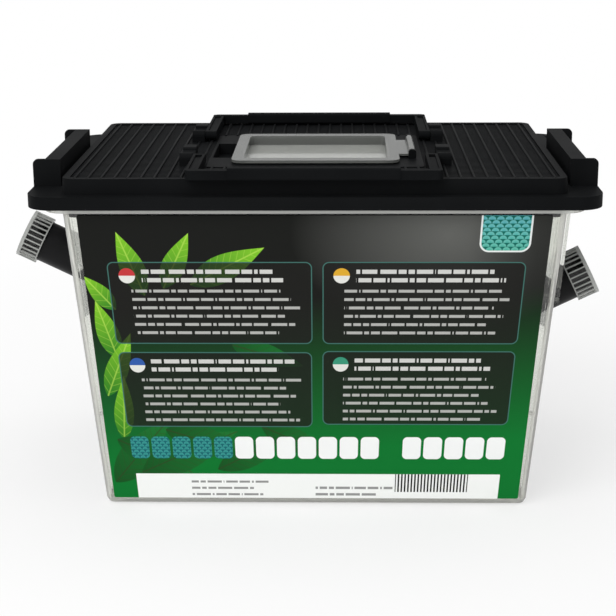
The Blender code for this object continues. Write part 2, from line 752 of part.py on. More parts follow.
def build_tube(name, side, look):
    """One hide tube, open at both ends, whose outer end is inside the cap."""
    outer_end = tube_outer_end(side)
    inner_end = outer_end - tube_direction(side) * tube_length()
    tube = rod(name, TUBE_RADIUS, inner_end, outer_end, 32, PARTS, outer_end)
    run = tube_direction(side) * OVERRUN
    cut(tube, rod(f"{name}_bore", TUBE_RADIUS - TUBE_WALL, inner_end - run, outer_end + run, 24))
    finish(tube, look)
    return tube


def ribbed_outline():
    """Points round the cap's skirt, in and out once for each rib."""
    points = []
    for rib in range(CAP_RIBS):
        for share, radius in ((0.0, CAP_SKIRT_RADIUS), (0.5, CAP_SKIRT_RADIUS), (0.6, CAP_RADIUS), (0.9, CAP_RADIUS)):
            angle = math.tau * (rib + share) / CAP_RIBS
            points.append((radius * math.cos(angle), radius * math.sin(angle)))
    return points


def build_cap(name, side, look):
    """One clear cap: a ribbed skirt over the tube's end and a smooth end plate."""
    mouth = cap_mouth(side)
    bm = bmesh.new()
    face = bm.faces.new([bm.verts.new((x, y, 0)) for x, y in ribbed_outline()])
    skirt_length = CAP_LENGTH - CAP_END_THICKNESS
    grown = bmesh.ops.extrude_face_region(bm, geom=[face])
    tops = [v for v in grown["geom"] if isinstance(v, bmesh.types.BMVert)]
    bmesh.ops.translate(bm, vec=(0, 0, skirt_length + SINK), verts=tops)
    turn = Vector((0, 0, 1)).rotation_difference(tube_direction(side)).to_matrix().to_4x4()
    bm.transform(Matrix.Translation(mouth) @ turn)
    cap = add_object(name, bm, PARTS, mouth)
    way = tube_direction(side)
    plate_start = mouth + way * skirt_length
    plate = rod(f"{name}_plate", CAP_RADIUS + SINK / 4, plate_start, mouth + way * CAP_LENGTH, 40)
    join(cap, plate)
    bore_start = mouth - way * OVERRUN
    cut(cap, rod(f"{name}_bore", TUBE_RADIUS + GAP, bore_start, plate_start, 32))
    finish(cap, look)
    return cap


def turned(name, profile, place, look, steps=32):
    """A turned piece: a closed profile of (radius, height) points spun about a vertical axis."""
    bm = bmesh.new()
    verts = [bm.verts.new((r, 0, z)) for r, z in profile]
    loop = [bm.edges.new((verts[i - 1], verts[i])) for i in range(len(verts))]
    bmesh.ops.spin(
        bm,
        geom=verts + loop,
        axis=(0, 0, 1),
        cent=(0, 0, 0),
        angle=math.tau,
        steps=steps,
        use_merge=True,
        use_duplicate=False,
    )
    bmesh.ops.remove_doubles(bm, verts=bm.verts, dist=SINK / 10)
    loose = [e for e in bm.edges if not e.link_faces]
    bmesh.ops.delete(bm, geom=loose, context="EDGES")
    bm.transform(Matrix.Translation(place))
    made = add_object(name, bm, PARTS, place)
    finish(made, look)
    return made


def dish_place(side):
    """A dish stands on the floor in front of or behind the tubes, near one end of the tub."""
    wall = tub_half(TUB_MOUTH_DEPTH, DISH_HEIGHT + TUB_FLOOR) - TUB_WALL - (DISH_HEIGHT * TAPER)
    return Vector((side * DISH_ALONG, -side * (wall - DISH_WALL_CLEARANCE - DISH_RADIUS), TUB_FLOOR + GAP))


def dish_profile(ledge):
    """Foot, flared wall with a rolled rim and, if ledge is set, an inner step that a grid lies on."""
    inner_rim = DISH_RADIUS - DISH_RIM_WIDTH
    inner_foot = DISH_FOOT_RADIUS - DISH_WALL
    rim_low = DISH_HEIGHT - DISH_WALL
    points = [
        (0, DISH_WALL),
        (inner_foot, DISH_WALL),
    ]
    if ledge:
        seat = DISH_HEIGHT - GRID_DROP - GRID_THICKNESS
        points += [
            (inner_rim - GRID_LEDGE, seat),
            (inner_rim, seat),
        ]
    points += [
        (inner_rim, DISH_HEIGHT),
        (DISH_RADIUS, DISH_HEIGHT),
        (DISH_RADIUS, rim_low),
        (inner_rim + DISH_WALL, rim_low),
        (DISH_FOOT_RADIUS, 0),
        (0, 0),
    ]
    return points


def build_grid(name, place, look):
    """Slotted disc that lies on the water dish's inner step."""
    seat = place.z + DISH_HEIGHT - GRID_DROP - GRID_THICKNESS + GAP
    radius = DISH_RADIUS - DISH_RIM_WIDTH - GAP
    low = Vector((place.x, place.y, seat))
    high = low + Vector((0, 0, GRID_THICKNESS))
    grid = rod(name, radius, low, high, 32, PARTS, low)
    slots = []
    field = radius - GRID_LEDGE - GRID_SLOT_WIDTH
    count = int(field / GRID_SLOT_PITCH)
    for row in range(-count, count + 1):
        place_y = row * GRID_SLOT_PITCH
        half = math.sqrt(field**2 - place_y**2)
        slots.append(
            (
                (place.x - half, place.y + place_y - GRID_SLOT_WIDTH / 2, seat - OVERRUN),
                (place.x + half, place.y + place_y + GRID_SLOT_WIDTH / 2, seat + OVERRUN),
            )
        )
    cut(grid, merged(f"{name}_slots", slots))
    finish(grid, look)
    return grid


def build_label(look):
    """Label film: a thin plate on the front wall that follows its draft and its taper."""
    top = TUB_HEIGHT - FLANGE_LIP_DEPTH - LABEL_TOP_MARGIN
    bottom = TUB_FLOOR_RADIUS + LABEL_BOTTOM_MARGIN
    bm = bmesh.new()
    corners = []
    for height, margin in ((bottom, LABEL_BOTTOM_SIDE_MARGIN), (top, LABEL_TOP_SIDE_MARGIN)):
        half_x = tub_half(TUB_MOUTH_LENGTH, height) - margin
        front = -tub_half(TUB_MOUTH_DEPTH, height) - GAP
        corners.append([(-half_x, front, height), (half_x, front, height)])
    order = [corners[0][0], corners[0][1], corners[1][1], corners[1][0]]
    back_face = bm.faces.new([bm.verts.new(point) for point in order])
    out = Vector((0, -math.cos(TUB_DRAFT), -math.sin(TUB_DRAFT))) * LABEL_THICKNESS
    grown = bmesh.ops.extrude_face_region(bm, geom=[back_face])
    fronts = [v for v in grown["geom"] if isinstance(v, bmesh.types.BMVert)]
    bmesh.ops.translate(bm, vec=out, verts=fronts)
    through = [e for e in bm.edges if abs((e.verts[1].co - e.verts[0].co).length - LABEL_THICKNESS) < SINK / 10]
    round_edges(bm, through, LABEL_CORNER_RADIUS, 3)
    label = add_object("front_label", bm, PARTS)
    finish(label, look)
    return label


def main():
    """Build every piece."""
    start_scene()
    clear = material("clear_plastic", (0.80, 0.80, 0.78), 0.08, alpha=0.35)
    black = material("black_plastic", (0.018, 0.019, 0.020), 0.42)
    tube_black = material("tube_plastic", (0.025, 0.025, 0.026), 0.50)
    dish_grey = material("dish_plastic", (0.05, 0.05, 0.05), 0.45)
    film = material("label_film", (0.03, 0.16, 0.08), 0.35)
    build_tub(clear)
    lid = build_lid(black)
    for piece in (
        build_hatch(clear),
        build_handle("front_handle", -1, FRONT_PIVOT, FRONT_REACH, black),
        build_handle("rear_handle", 1, REAR_PIVOT, REAR_REACH, black),
    ):
        piece.parent = lid
        piece.matrix_parent_inverse = Matrix.Translation(lid.location).inverted()
    for word, side in (("left", -1), ("right", 1)):
        tube = build_tube(f"{word}_tube", side, tube_black)
        cap = build_cap(f"{word}_tube_cap", side, clear)
        cap.parent = tube
        cap.matrix_parent_inverse = Matrix.Translation(tube.location).inverted()
    turned("food_dish", dish_profile(False), dish_place(1), dish_grey)
    turned("water_dish", dish_profile(True), dish_place(-1), dish_grey)
    build_grid("water_dish_grid", dish_place(-1), black)
    build_label(film)


main()
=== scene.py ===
"""Looks of the cricket keeper box: vented lid, hatch, handles, hide tubes, clear tub and printed label."""

import logging
import math
from collections.abc import Callable, Iterable, Sequence
from dataclasses import dataclass
from enum import Enum

import bmesh
import bpy
from mathutils import Matrix, Vector


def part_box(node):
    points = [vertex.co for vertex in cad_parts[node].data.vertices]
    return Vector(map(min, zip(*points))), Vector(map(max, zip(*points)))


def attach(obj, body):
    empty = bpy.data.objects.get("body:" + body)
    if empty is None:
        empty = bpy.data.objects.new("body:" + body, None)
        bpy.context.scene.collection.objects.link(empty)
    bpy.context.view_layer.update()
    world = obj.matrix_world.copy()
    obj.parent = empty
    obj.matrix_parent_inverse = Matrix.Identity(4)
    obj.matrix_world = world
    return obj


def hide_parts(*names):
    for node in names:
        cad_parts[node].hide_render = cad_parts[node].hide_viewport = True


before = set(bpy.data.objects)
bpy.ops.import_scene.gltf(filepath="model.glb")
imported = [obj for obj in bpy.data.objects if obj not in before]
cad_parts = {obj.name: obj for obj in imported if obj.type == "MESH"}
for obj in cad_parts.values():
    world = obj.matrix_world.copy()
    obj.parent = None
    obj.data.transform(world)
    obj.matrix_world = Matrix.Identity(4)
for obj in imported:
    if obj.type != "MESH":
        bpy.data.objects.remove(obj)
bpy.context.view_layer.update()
LOG = logging.getLogger("cricket_keeper_box")
Point = Sequence[float]
Colour = tuple[float, float, float, float]
Socket = bpy.types.NodeSocket
EdgeTest = Callable[[bmesh.types.BMEdge], bool]
OVERLAP = 0.0004  # metres that joined shapes run into each other
CLEARANCE = 0.004  # metres that a cutting shape runs past the piece
NEAR = 0.0001  # metres within which two places count as one
SLIVER = 0.00005  # metres below which an edge is a Boolean's leftover


class Side(Enum):
    """The two ends of the box."""

    LEFT = -1
    RIGHT = 1


class Facing(Enum):
    """The way a handle lies when it is folded flat."""

    FRONT = -1
    REAR = 1


class Pick(Enum):
    """What a selection in edit mode is made of."""

    EDGES = "EDGE"
    FACES = "FACE"


def linear(red: int, green: int, blue: int) -> Colour:
    """Turn a colour as a screen shows it into the renderer's linear one.

    Args:
        red: Red from 0 to 255.
        green: Green from 0 to 255.
        blue: Blue from 0 to 255.

    Returns:
        The linear colour with full alpha.
    """
    shares = [level / 255 for level in (red, green, blue)]
    made = [c / 12.92 if c <= 0.04045 else ((c + 0.055) / 1.055) ** 2.4 for c in shares]
    return (made[0], made[1], made[2], 1.0)


# Modelling by hand, through Blender's operators


def choose(*pieces: bpy.types.Object) -> None:
    """Select only these pieces, and make the first one active.

    Args:
        *pieces: The pieces to select.
    """
    bpy.ops.object.select_all(action="DESELECT")
    for piece in pieces:
        piece.select_set(True)
    bpy.context.view_layer.objects.active = pieces[0]


def settle(piece: bpy.types.Object, name: str) -> bpy.types.Object:
    """Name a piece and put its place, turn and size into its mesh.

    Args:
        piece: The piece to settle.
        name: Its name.

    Returns:
        The same piece.
    """
    piece.name = name
    piece.data.name = name
    choose(piece)
    bpy.ops.object.transform_apply(location=True, rotation=True, scale=True)
    return piece


def block(name: str, low: Point, high: Point) -> bpy.types.Object:
    """Add a cube that reaches from one corner to another.

    Args:
        name: The piece's name.
        low: The lowest corner.
        high: The highest corner.

    Returns:
        The new piece.
    """
    middle = [(a + b) / 2 for a, b in zip(low, high)]
    size = [b - a for a, b in zip(low, high)]
    bpy.ops.object.select_all(action="DESELECT")
    bpy.ops.mesh.primitive_cube_add(size=1, location=middle)
    bpy.context.object.scale = size
    return settle(bpy.context.object, name)


def cylinder(name: str, radius: float, start: Point, end: Point, sides: int = 48) -> bpy.types.Object:
    """Add a cylinder between two points.

    Args:
        name: The piece's name.
        radius: Its radius.
        start: The middle of one end.
        end: The middle of the other end.
        sides: How many flat sides it has.

    Returns:
        The new piece.
    """
    first, last = Vector(start), Vector(end)
    turn = Vector((0, 0, 1)).rotation_difference(last - first).to_euler()
    bpy.ops.object.select_all(action="DESELECT")
    bpy.ops.mesh.primitive_cylinder_add(
        vertices=sides, radius=radius, depth=(last - first).length, location=(first + last) / 2, rotation=turn
    )
    return settle(bpy.context.object, name)


def pick(piece: bpy.types.Object, kind: Pick, test: Callable[..., bool]) -> int:
    """Open a piece in edit mode and select the edges or faces that pass a test.

    Args:
        piece: The piece to edit.
        kind: Whether edges or faces are tested.
        test: Takes a bmesh edge or face and says whether it is selected.

    Returns:
        How many were selected.
    """
    choose(piece)
    bpy.ops.object.mode_set(mode="EDIT")
    bpy.ops.mesh.select_mode(type=kind.value)
    bpy.ops.mesh.select_all(action="DESELECT")
    shape = bmesh.from_edit_mesh(piece.data)
    pool = shape.edges if kind is Pick.EDGES else shape.faces
    chosen = [item for item in pool if test(item)]
    for item in chosen:
        item.select_set(True)
    shape.select_flush_mode()
    bmesh.update_edit_mesh(piece.data)
    return len(chosen)


def done() -> None:
    """Leave edit mode."""
    bpy.ops.object.mode_set(mode="OBJECT")


def along(axis: int) -> EdgeTest:
    """Make a test for edges that run along one axis.

    Args:
        axis: 0, 1 or 2 for x, y or z.

    Returns:
        The test.
    """

    def test(edge: bmesh.types.BMEdge) -> bool:
        """Say whether the edge runs mostly along the axis."""
        run = edge.verts[1].co - edge.verts[0].co
        return abs(run[axis]) > run.length * 0.7

    return test


def at(axis: int, middle: Callable[[Vector], bool]) -> EdgeTest:
    """Make a test for edges along one axis whose first end passes a test of its own."""
    return lambda edge: along(axis)(edge) and middle(edge.verts[0].co)


def round_off(piece: bpy.types.Object, test: EdgeTest, radius: float, segments: int = 4) -> None:
    """Bevel the edges of a piece that pass a test.

    Args:
        piece: The piece to shape.
        test: Chooses its edges.
        radius: The bevel's width.
        segments: How many strips the bevel has.
    """
    if pick(piece, Pick.EDGES, test):
        bpy.ops.mesh.bevel(offset=radius, segments=segments, profile=0.5, affect="EDGES", clamp_overlap=True)
    done()


def carve(piece: bpy.types.Object, tool: bpy.types.Object, operation: str = "DIFFERENCE") -> None:
    """Cut a tool out of a piece, or join it on, and remove the tool.

    Args:
        piece: The piece to shape.
        tool: The shape that is cut out or joined.
        operation: The Boolean modifier's operation.
    """
    step = piece.modifiers.new("carve", "BOOLEAN")
    step.operation = operation
    step.solver = "EXACT"
    step.object = tool
    choose(piece)
    bpy.ops.object.modifier_apply(modifier=step.name)
    bpy.data.objects.remove(tool, do_unlink=True)


def unite(piece: bpy.types.Object, *tools: bpy.types.Object) -> None:
    """Join tools to a piece as one solid."""
    for tool in tools:
        carve(piece, tool, "UNION")


def clean(piece: bpy.types.Object) -> None:
    """Take out the slivers that Booleans leave, because the shortest edge limits a bevel.

    Args:
        piece: The piece to clean.
    """
    choose(piece)
    bpy.ops.object.mode_set(mode="EDIT")
    bpy.ops.mesh.select_mode(type="VERT")
    bpy.ops.mesh.select_all(action="SELECT")
    bpy.ops.mesh.remove_doubles(threshold=SLIVER)
    bpy.ops.mesh.dissolve_degenerate(threshold=SLIVER / 5)
    bpy.ops.mesh.select_all(action="SELECT")
    bpy.ops.mesh.delete_loose(use_verts=True, use_edges=True, use_faces=False)
    done()


def soften(piece: bpy.types.Object, width: float, segments: int = 2, degrees: float = 35) -> None:
    """Round the sharp edges of a finished piece a little, and smooth its round faces.

    Args:
        piece: The piece to finish.
        width: The bevel's width, or zero for smoothing only.
        segments: How many strips the bevel has.
        degrees: The angle from which an edge counts as sharp.
    """
    if width > 0:
        clean(piece)
        step = piece.modifiers.new("soften", "BEVEL")
        step.width = width
        step.segments = segments
        step.limit_method = "ANGLE"
        step.angle_limit = math.radians(degrees)
        step.use_clamp_overlap = True
        step.miter_outer = "MITER_ARC"
        choose(piece)
        bpy.ops.object.modifier_apply(modifier=step.name)
    choose(piece)
    bpy.ops.object.shade_smooth_by_angle(angle=math.radians(degrees))
    if width > 0:
        flat = piece.modifiers.new("flat", "WEIGHTED_NORMAL")
        flat.mode = "FACE_AREA"
        flat.keep_sharp = True
        bpy.ops.object.modifier_apply(modifier=flat.name)


def repeat(piece: bpy.types.Object, moves: Iterable[Point]) -> list[bpy.types.Object]:
    """Copy a piece to several places, each copy with its own mesh, and remove the pattern piece.

    Args:
        piece: The piece to copy.
        moves: How far each copy stands from the piece.

    Returns:
        The copies.
    """
    made = []
    for move in moves:
        copy = piece.copy()
        copy.data = piece.data.copy()
        copy.data.transform(Matrix.Translation(Vector(move)))
        bpy.context.scene.collection.objects.link(copy)
        made.append(copy)
    bpy.data.objects.remove(piece, do_unlink=True)
    return made


def gather(name: str, pieces: Sequence[bpy.types.Object]) -> bpy.types.Object:
    """Join loose pieces into one object without a Boolean.

    Args:
        name: The object's name.
        pieces: The pieces to join.

    Returns:
        The object.
    """
    choose(*pieces)
    bpy.ops.object.join()
    joined = bpy.context.object
    joined.name = name
    joined.data.name = name
    return joined


# Shader nodes


class Wiring:
    """Adds nodes to a shader tree and links them, left to right."""

    def __init__(self, tree: bpy.types.NodeTree) -> None:
        """Remember the tree, and start at its left."""
        self.tree = tree
        self.count = 0

    def node(self, kind: str, **settings: object) -> bpy.types.Node:
        """Add a node and set its properties.

        Args:
            kind: The node's type name.
            **settings: Its properties.

        Returns:
            The node.
        """
        made = self.tree.nodes.new(kind)
        made.location = (180 * (self.count % 12) - 1200, 300 - 190 * (self.count // 12))
        self.count += 1
        for name, value in settings.items():
            setattr(made, name, value)
        return made

    def feed(self, socket: Socket, value: object) -> None:
        """Link a socket to another socket, or give it a plain value.

        Args:
            socket: The input.
            value: The output that feeds it, or its value.
        """
        if isinstance(value, Socket):
            self.tree.links.new(value, socket)
        else:
            socket.default_value = value

    def math(self, operation: str, *values: object, clamp: bool = False) -> Socket:
        """Add a Math node.

        Args:
            operation: What it works out.
            *values: Its inputs, sockets or numbers.
            clamp: Whether the result stays from 0 to 1.

        Returns:
            The result's socket.
        """
        made = self.node("ShaderNodeMath", operation=operation, use_clamp=clamp)
        for socket, value in zip(made.inputs, values):
            self.feed(socket, value)
        return made.outputs[0]

    def multiply(self, first: object, second: object) -> Socket:
        """Multiply two values."""
        return self.math("MULTIPLY", first, second)

    def subtract(self, first: object, second: object) -> Socket:
        """Take the second value from the first."""
        return self.math("SUBTRACT", first, second)

    def mix(self, share: object, first: object, second: object) -> Socket:
        """Mix two colours.

        Args:
            share: How much of the second shows.
            first: The colour at 0.
            second: The colour at 1.

        Returns:
            The mixed colour's socket.
        """
        made = self.node("ShaderNodeMix", data_type="RGBA")
        self.feed(made.inputs["Factor"], share)
        self.feed(made.inputs[6], first)
        self.feed(made.inputs[7], second)
        return made.outputs[2]

    def span(self, value: object, low: float, high: float, start: float = 0.0, end: float = 1.0) -> Socket:
        """Map a value from one range to another, kept inside it.

        Args:
            value: The value.
            low: Where the first range starts.
            high: Where it ends.
            start: What low becomes.
            end: What high becomes.

        Returns:
            The result's socket.
        """
        made = self.node("ShaderNodeMapRange", clamp=True)
        for socket, item in zip(made.inputs, (value, low, high, start, end)):
            self.feed(socket, item)
        return made.outputs[0]

    def noise(self, vector: object, scale: object, detail: float = 3.0) -> Socket:
        """Add a noise texture.

        Args:
            vector: The place that it reads.
            scale: How fine it is.
            detail: How many finer layers it has.

        Returns:
            Its plain value's socket.
        """
        made = self.node("ShaderNodeTexNoise")
        self.feed(made.inputs["Vector"], vector)
        self.feed(made.inputs["Scale"], scale)
        made.inputs["Detail"].default_value = detail
        return made.outputs["Fac"]

    def place(self) -> Socket:
        """Give the place of a point of the piece, in metres."""
        return self.node("ShaderNodeTexCoord").outputs["Object"]

    def use(self, group: bpy.types.NodeTree, **values: object) -> bpy.types.Node:
        """Place a node group and feed its inputs, whose names have spaces for underscores.

        Args:
            group: The group's tree.
            **values: Its inputs by name.

        Returns:
            The group's node.
        """
        made = self.node("ShaderNodeGroup")
        made.node_tree = group
        for name, value in values.items():
            self.feed(made.inputs[name.replace("_", " ")], value)
        return made

    def bump(self, height: Socket, strength: float, distance: float) -> Socket:
        """Turn a height into a bumped normal.

        Args:
            height: The height's socket.
            strength: How strong the bumps are.
            distance: How high they are, in metres.

        Returns:
            The normal's socket.
        """
        made = self.node("ShaderNodeBump")
        made.inputs["Strength"].default_value = strength
        made.inputs["Distance"].default_value = distance
        self.feed(made.inputs["Height"], height)
        return made.outputs["Normal"]


def make_group(
    name: str, inputs: dict[str, tuple[str, object]], outputs: dict[str, str]
) -> tuple[Wiring, bpy.types.Node, bpy.types.Node]:
    """Start a shader node group.

    Args:
        name: The group's name.
        inputs: Socket kind and start value by input name.
        outputs: Socket kind by output name.

    Returns:
        Its wiring, its input node and its output node.
    """
    tree = bpy.data.node_groups.new(name, "ShaderNodeTree")
    for title, (kind, value) in inputs.items():
        socket = tree.interface.new_socket(title, in_out="INPUT", socket_type="NodeSocket" + kind)
        if value is not None:
            socket.default_value = value
    for title, kind in outputs.items():
        tree.interface.new_socket(title, in_out="OUTPUT", socket_type="NodeSocket" + kind)
    wiring = Wiring(tree)
    return wiring, wiring.node("NodeGroupInput"), wiring.node("NodeGroupOutput")


def grain_group() -> bpy.types.NodeTree:
    """Fine moulding grain: a height for a Bump node, and a slow change of tone.

    Returns:
        The group's tree.
    """
    wiring, given, result = make_group(
        "moulding_grain",
        {"Place": ("Vector", None), "Fineness": ("Float", 1800.0), "Drift": ("Float", 22.0)},
        {"Height": "Float", "Tone": "Float"},
    )
    get = given.outputs
    wiring.feed(result.inputs["Height"], wiring.noise(get["Place"], get["Fineness"], 2.0))
    slow = wiring.noise(get["Place"], get["Drift"], 4.0)
    wiring.feed(result.inputs["Tone"], wiring.span(slow, 0.3, 0.7))
    return wiring.tree


def dust_group() -> bpy.types.NodeTree:
    """Thin dust that lies on faces that look up, in patches.

    Returns:
        The group's tree.
    """
    wiring, given, result = make_group(
        "settled_dust",
        {"Place": ("Vector", None), "Amount": ("Float", 0.1)},
        {"Dust": "Float"},
    )
    geometry = wiring.node("ShaderNodeNewGeometry")
    parts = wiring.node("ShaderNodeSeparateXYZ")
    wiring.feed(parts.inputs[0], geometry.outputs["Normal"])
    upward = wiring.span(parts.outputs["Z"], 0.6, 1.0)
    patches = wiring.span(wiring.noise(given.outputs["Place"], 260.0, 5.0), 0.35, 0.75)
    dusty = wiring.multiply(upward, patches)
    wiring.feed(result.inputs["Dust"], wiring.math("MULTIPLY", dusty, given.outputs["Amount"], clamp=True))
    return wiring.tree


def panel_group() -> bpy.types.NodeTree:
    """A printed rounded rectangle, with a fill mask and a border mask. Sizes are in millimetres.

    Returns:
        The group's tree.
    """
    names = ("Across", "Up", "Middle Across", "Middle Up", "Half Width", "Half Height", "Corner", "Line")
    wiring, given, result = make_group(
        "printed_panel", {name: ("Float", 1.0) for name in names}, {"Fill": "Float", "Border": "Float"}
    )
    get = given.outputs
    beyond = []
    for place, middle, half in (("Across", "Middle Across", "Half Width"), ("Up", "Middle Up", "Half Height")):
        away = wiring.math("ABSOLUTE", wiring.subtract(get[place], get[middle]))
        over = wiring.subtract(away, get[half])
        beyond.append(wiring.math("ADD", over, get["Corner"]))
    outside = [wiring.math("MAXIMUM", side, 0.0) for side in beyond]
    squares = [wiring.multiply(side, side) for side in outside]
    reach = wiring.math("SQRT", wiring.math("ADD", *squares))
    inside = wiring.math("MINIMUM", wiring.math("MAXIMUM", *beyond), 0.0)
    distance = wiring.subtract(wiring.math("ADD", reach, inside), get["Corner"])
    wiring.feed(result.inputs["Fill"], wiring.span(distance, 0.1, -0.1))
    edge = wiring.subtract(wiring.math("ABSOLUTE", distance), get["Line"])
    wiring.feed(result.inputs["Border"], wiring.span(edge, 0.1, -0.1))
    return wiring.tree


def leaf_group() -> bpy.types.NodeTree:
    """A printed leaf with a midrib and side veins. Sizes are in millimetres, the turn in radians.

    Returns:
        The group's tree.
    """
    names = ("Across", "Up", "Root Across", "Root Up", "Turn", "Length", "Width")
    wiring, given, result = make_group(
        "printed_leaf", {name: ("Float", 1.0) for name in names}, {"Fill": "Float", "Vein": "Float", "Along": "Float"}
    )
    get = given.outputs
    right = wiring.subtract(get["Across"], get["Root Across"])
    rise = wiring.subtract(get["Up"], get["Root Up"])
    cosine, sine = wiring.math("COSINE", get["Turn"]), wiring.math("SINE", get["Turn"])
    ahead = wiring.math("ADD", wiring.multiply(right, cosine), wiring.multiply(rise, sine))
    aside = wiring.subtract(wiring.multiply(rise, cosine), wiring.multiply(right, sine))
    share = wiring.math("DIVIDE", ahead, get["Length"])
    inside = wiring.multiply(wiring.math("GREATER_THAN", share, 0.0), wiring.math("LESS_THAN", share, 1.0))
    bent = wiring.math("POWER", wiring.math("MAXIMUM", share, 0.0), 0.75)
    belly = wiring.multiply(wiring.math("SINE", wiring.multiply(bent, math.pi)), 0.5)
    half = wiring.multiply(belly, get["Width"])
    off = wiring.math("ABSOLUTE", aside)
    blade = wiring.span(wiring.subtract(off, half), 0.15, -0.15)
    wiring.feed(result.inputs["Fill"], wiring.multiply(blade, inside))
    midrib = wiring.span(off, 0.55, 0.2)
    slant = wiring.subtract(wiring.math("DIVIDE", ahead, 4.2), wiring.math("DIVIDE", off, 4.8))
    wave = wiring.math("ABSOLUTE", wiring.subtract(wiring.math("FRACT", slant), 0.5))
    side_vein = wiring.multiply(wiring.span(wave, 0.09, 0.02), 0.6)
    wiring.feed(result.inputs["Vein"], wiring.math("MAXIMUM", midrib, side_vein))
    wiring.feed(result.inputs["Along"], share)
    return wiring.tree


def dash_group() -> bpy.types.NodeTree:
    """Rows of plain printed dashes between two margins. Sizes are in millimetres.

    Returns:
        The group's tree.
    """
    names = ("Across", "Up", "Left", "Right", "Top", "Pitch", "Thickness", "Rows", "Seed")
    wiring, given, result = make_group(
        "printed_dashes", {name: ("Float", 1.0) for name in names}, {"Ink": "Float"}
    )
    get = given.outputs
    down = wiring.math("DIVIDE", wiring.subtract(get["Top"], get["Up"]), get["Pitch"])
    row = wiring.math("FLOOR", down)
    phase = wiring.math("ABSOLUTE", wiring.subtract(wiring.math("FRACT", down), 0.5))
    thick = wiring.subtract(wiring.multiply(phase, get["Pitch"]), wiring.multiply(get["Thickness"], 0.5))
    ink = wiring.span(thick, 0.1, -0.1)
    inside = wiring.multiply(wiring.math("GREATER_THAN", down, 0.0), wiring.math("LESS_THAN", row, get["Rows"]))
    seed = wiring.math("ADD", row, get["Seed"])
    shift = wiring.math("FRACT", wiring.multiply(seed, 0.618))
    end = wiring.subtract(get["Right"], wiring.multiply(shift, 14.0))
    inside = wiring.multiply(inside, wiring.math("GREATER_THAN", get["Across"], get["Left"]))
    inside = wiring.multiply(inside, wiring.math("LESS_THAN", get["Across"], end))
    for step, width, turn in ((9.3, 0.11, 0.37), (14.9, 0.07, 0.71)):
        moved = wiring.math("ADD", wiring.math("DIVIDE", get["Across"], step), wiring.multiply(seed, turn))
        gap = wiring.math("GREATER_THAN", wiring.math("FRACT", moved), width)
        inside = wiring.multiply(inside, gap)
    wiring.feed(result.inputs["Ink"], wiring.multiply(ink, inside))
    return wiring.tree


def scale_group() -> bpy.types.NodeTree:
    """Rows of overlapping round scales. The size is in millimetres.

    Returns:
        The group's tree.
    """
    wiring, given, result = make_group(
        "round_scales",
        {"Across": ("Float", 0.0), "Up": ("Float", 0.0), "Size": ("Float", 4.0)},
        {"Edge": "Float", "Shade": "Float"},
    )
    get = given.outputs
    rise = wiring.math("DIVIDE", get["Up"], wiring.multiply(get["Size"], 0.5))
    nearest = None
    for lower in (0.0, 1.0):
        level = wiring.subtract(wiring.math("FLOOR", rise), lower)
        odd = wiring.multiply(wiring.math("FLOORED_MODULO", level, 2.0), 0.5)
        column = wiring.math("ADD", wiring.math("DIVIDE", get["Across"], get["Size"]), odd)
        beside = wiring.subtract(wiring.math("FRACT", column), 0.5)
        above = wiring.multiply(wiring.subtract(rise, level), 0.5)
        square = wiring.math("ADD", wiring.multiply(beside, beside), wiring.multiply(above, above))
        distance = wiring.math("SQRT", square)
        if nearest is None:
            nearest = distance
        else:
            within = wiring.math("LESS_THAN", nearest, 0.5)
            kept = wiring.multiply(nearest, within)
            other = wiring.multiply(distance, wiring.subtract(1.0, within))
            nearest = wiring.math("ADD", kept, other)
    wiring.feed(result.inputs["Edge"], wiring.span(nearest, 0.40, 0.49))
    wiring.feed(result.inputs["Shade"], nearest)
    return wiring.tree


@dataclass(frozen=True)
class Kit:
    """The node groups that several materials share."""

    grain: bpy.types.NodeTree
    dust: bpy.types.NodeTree
    panel: bpy.types.NodeTree
    leaf: bpy.types.NodeTree
    dashes: bpy.types.NodeTree
    scales: bpy.types.NodeTree


def start_material(name: str) -> tuple[bpy.types.Material, Wiring, bpy.types.Node]:
    """Make a material with a Principled shader.

    Args:
        name: The material's name.

    Returns:
        The material, its wiring and its shader.
    """
    made = bpy.data.materials.new(name)
    made.use_nodes = True
    return made, Wiring(made.node_tree), made.node_tree.nodes["Principled BSDF"]


@dataclass(frozen=True)
class MouldedPlastic:
    """Opaque moulded plastic with a fine grain and a little dust."""

    name: str
    colour: Colour
    roughness: float
    gloss: float = 0.2
    grain: float = 0.12
    grain_height: float = 0.0002
    dust: float = 0.05
    dust_colour: Colour = linear(150, 150, 142)
    tone_gain: float = 1.35
    tone_lift: float = 0.001
    smoother: float = 0.04
    rougher: float = 0.05

    def build(self, kit: Kit) -> bpy.types.Material:
        """Make the material.

        Args:
            kit: The shared node groups.

        Returns:
            The material.
        """
        made, wiring, shader = start_material(self.name)
        place = wiring.place()
        grain = wiring.use(kit.grain, Place=place)
        dust = wiring.use(kit.dust, Place=place, Amount=self.dust)
        lighter = tuple(min(1.0, part * self.tone_gain + self.tone_lift) for part in self.colour[:3]) + (1.0,)
        toned = wiring.mix(grain.outputs["Tone"], self.colour, lighter)
        wiring.feed(shader.inputs["Base Color"], wiring.mix(dust.outputs["Dust"], toned, self.dust_colour))
        ends = (self.roughness - self.smoother, self.roughness + self.rougher)
        wiring.feed(shader.inputs["Roughness"], wiring.span(grain.outputs["Tone"], 0.0, 1.0, *ends))
        wiring.feed(shader.inputs["Normal"], wiring.bump(grain.outputs["Height"], self.grain, self.grain_height))
        shader.inputs["Specular IOR Level"].default_value = self.gloss
        return made


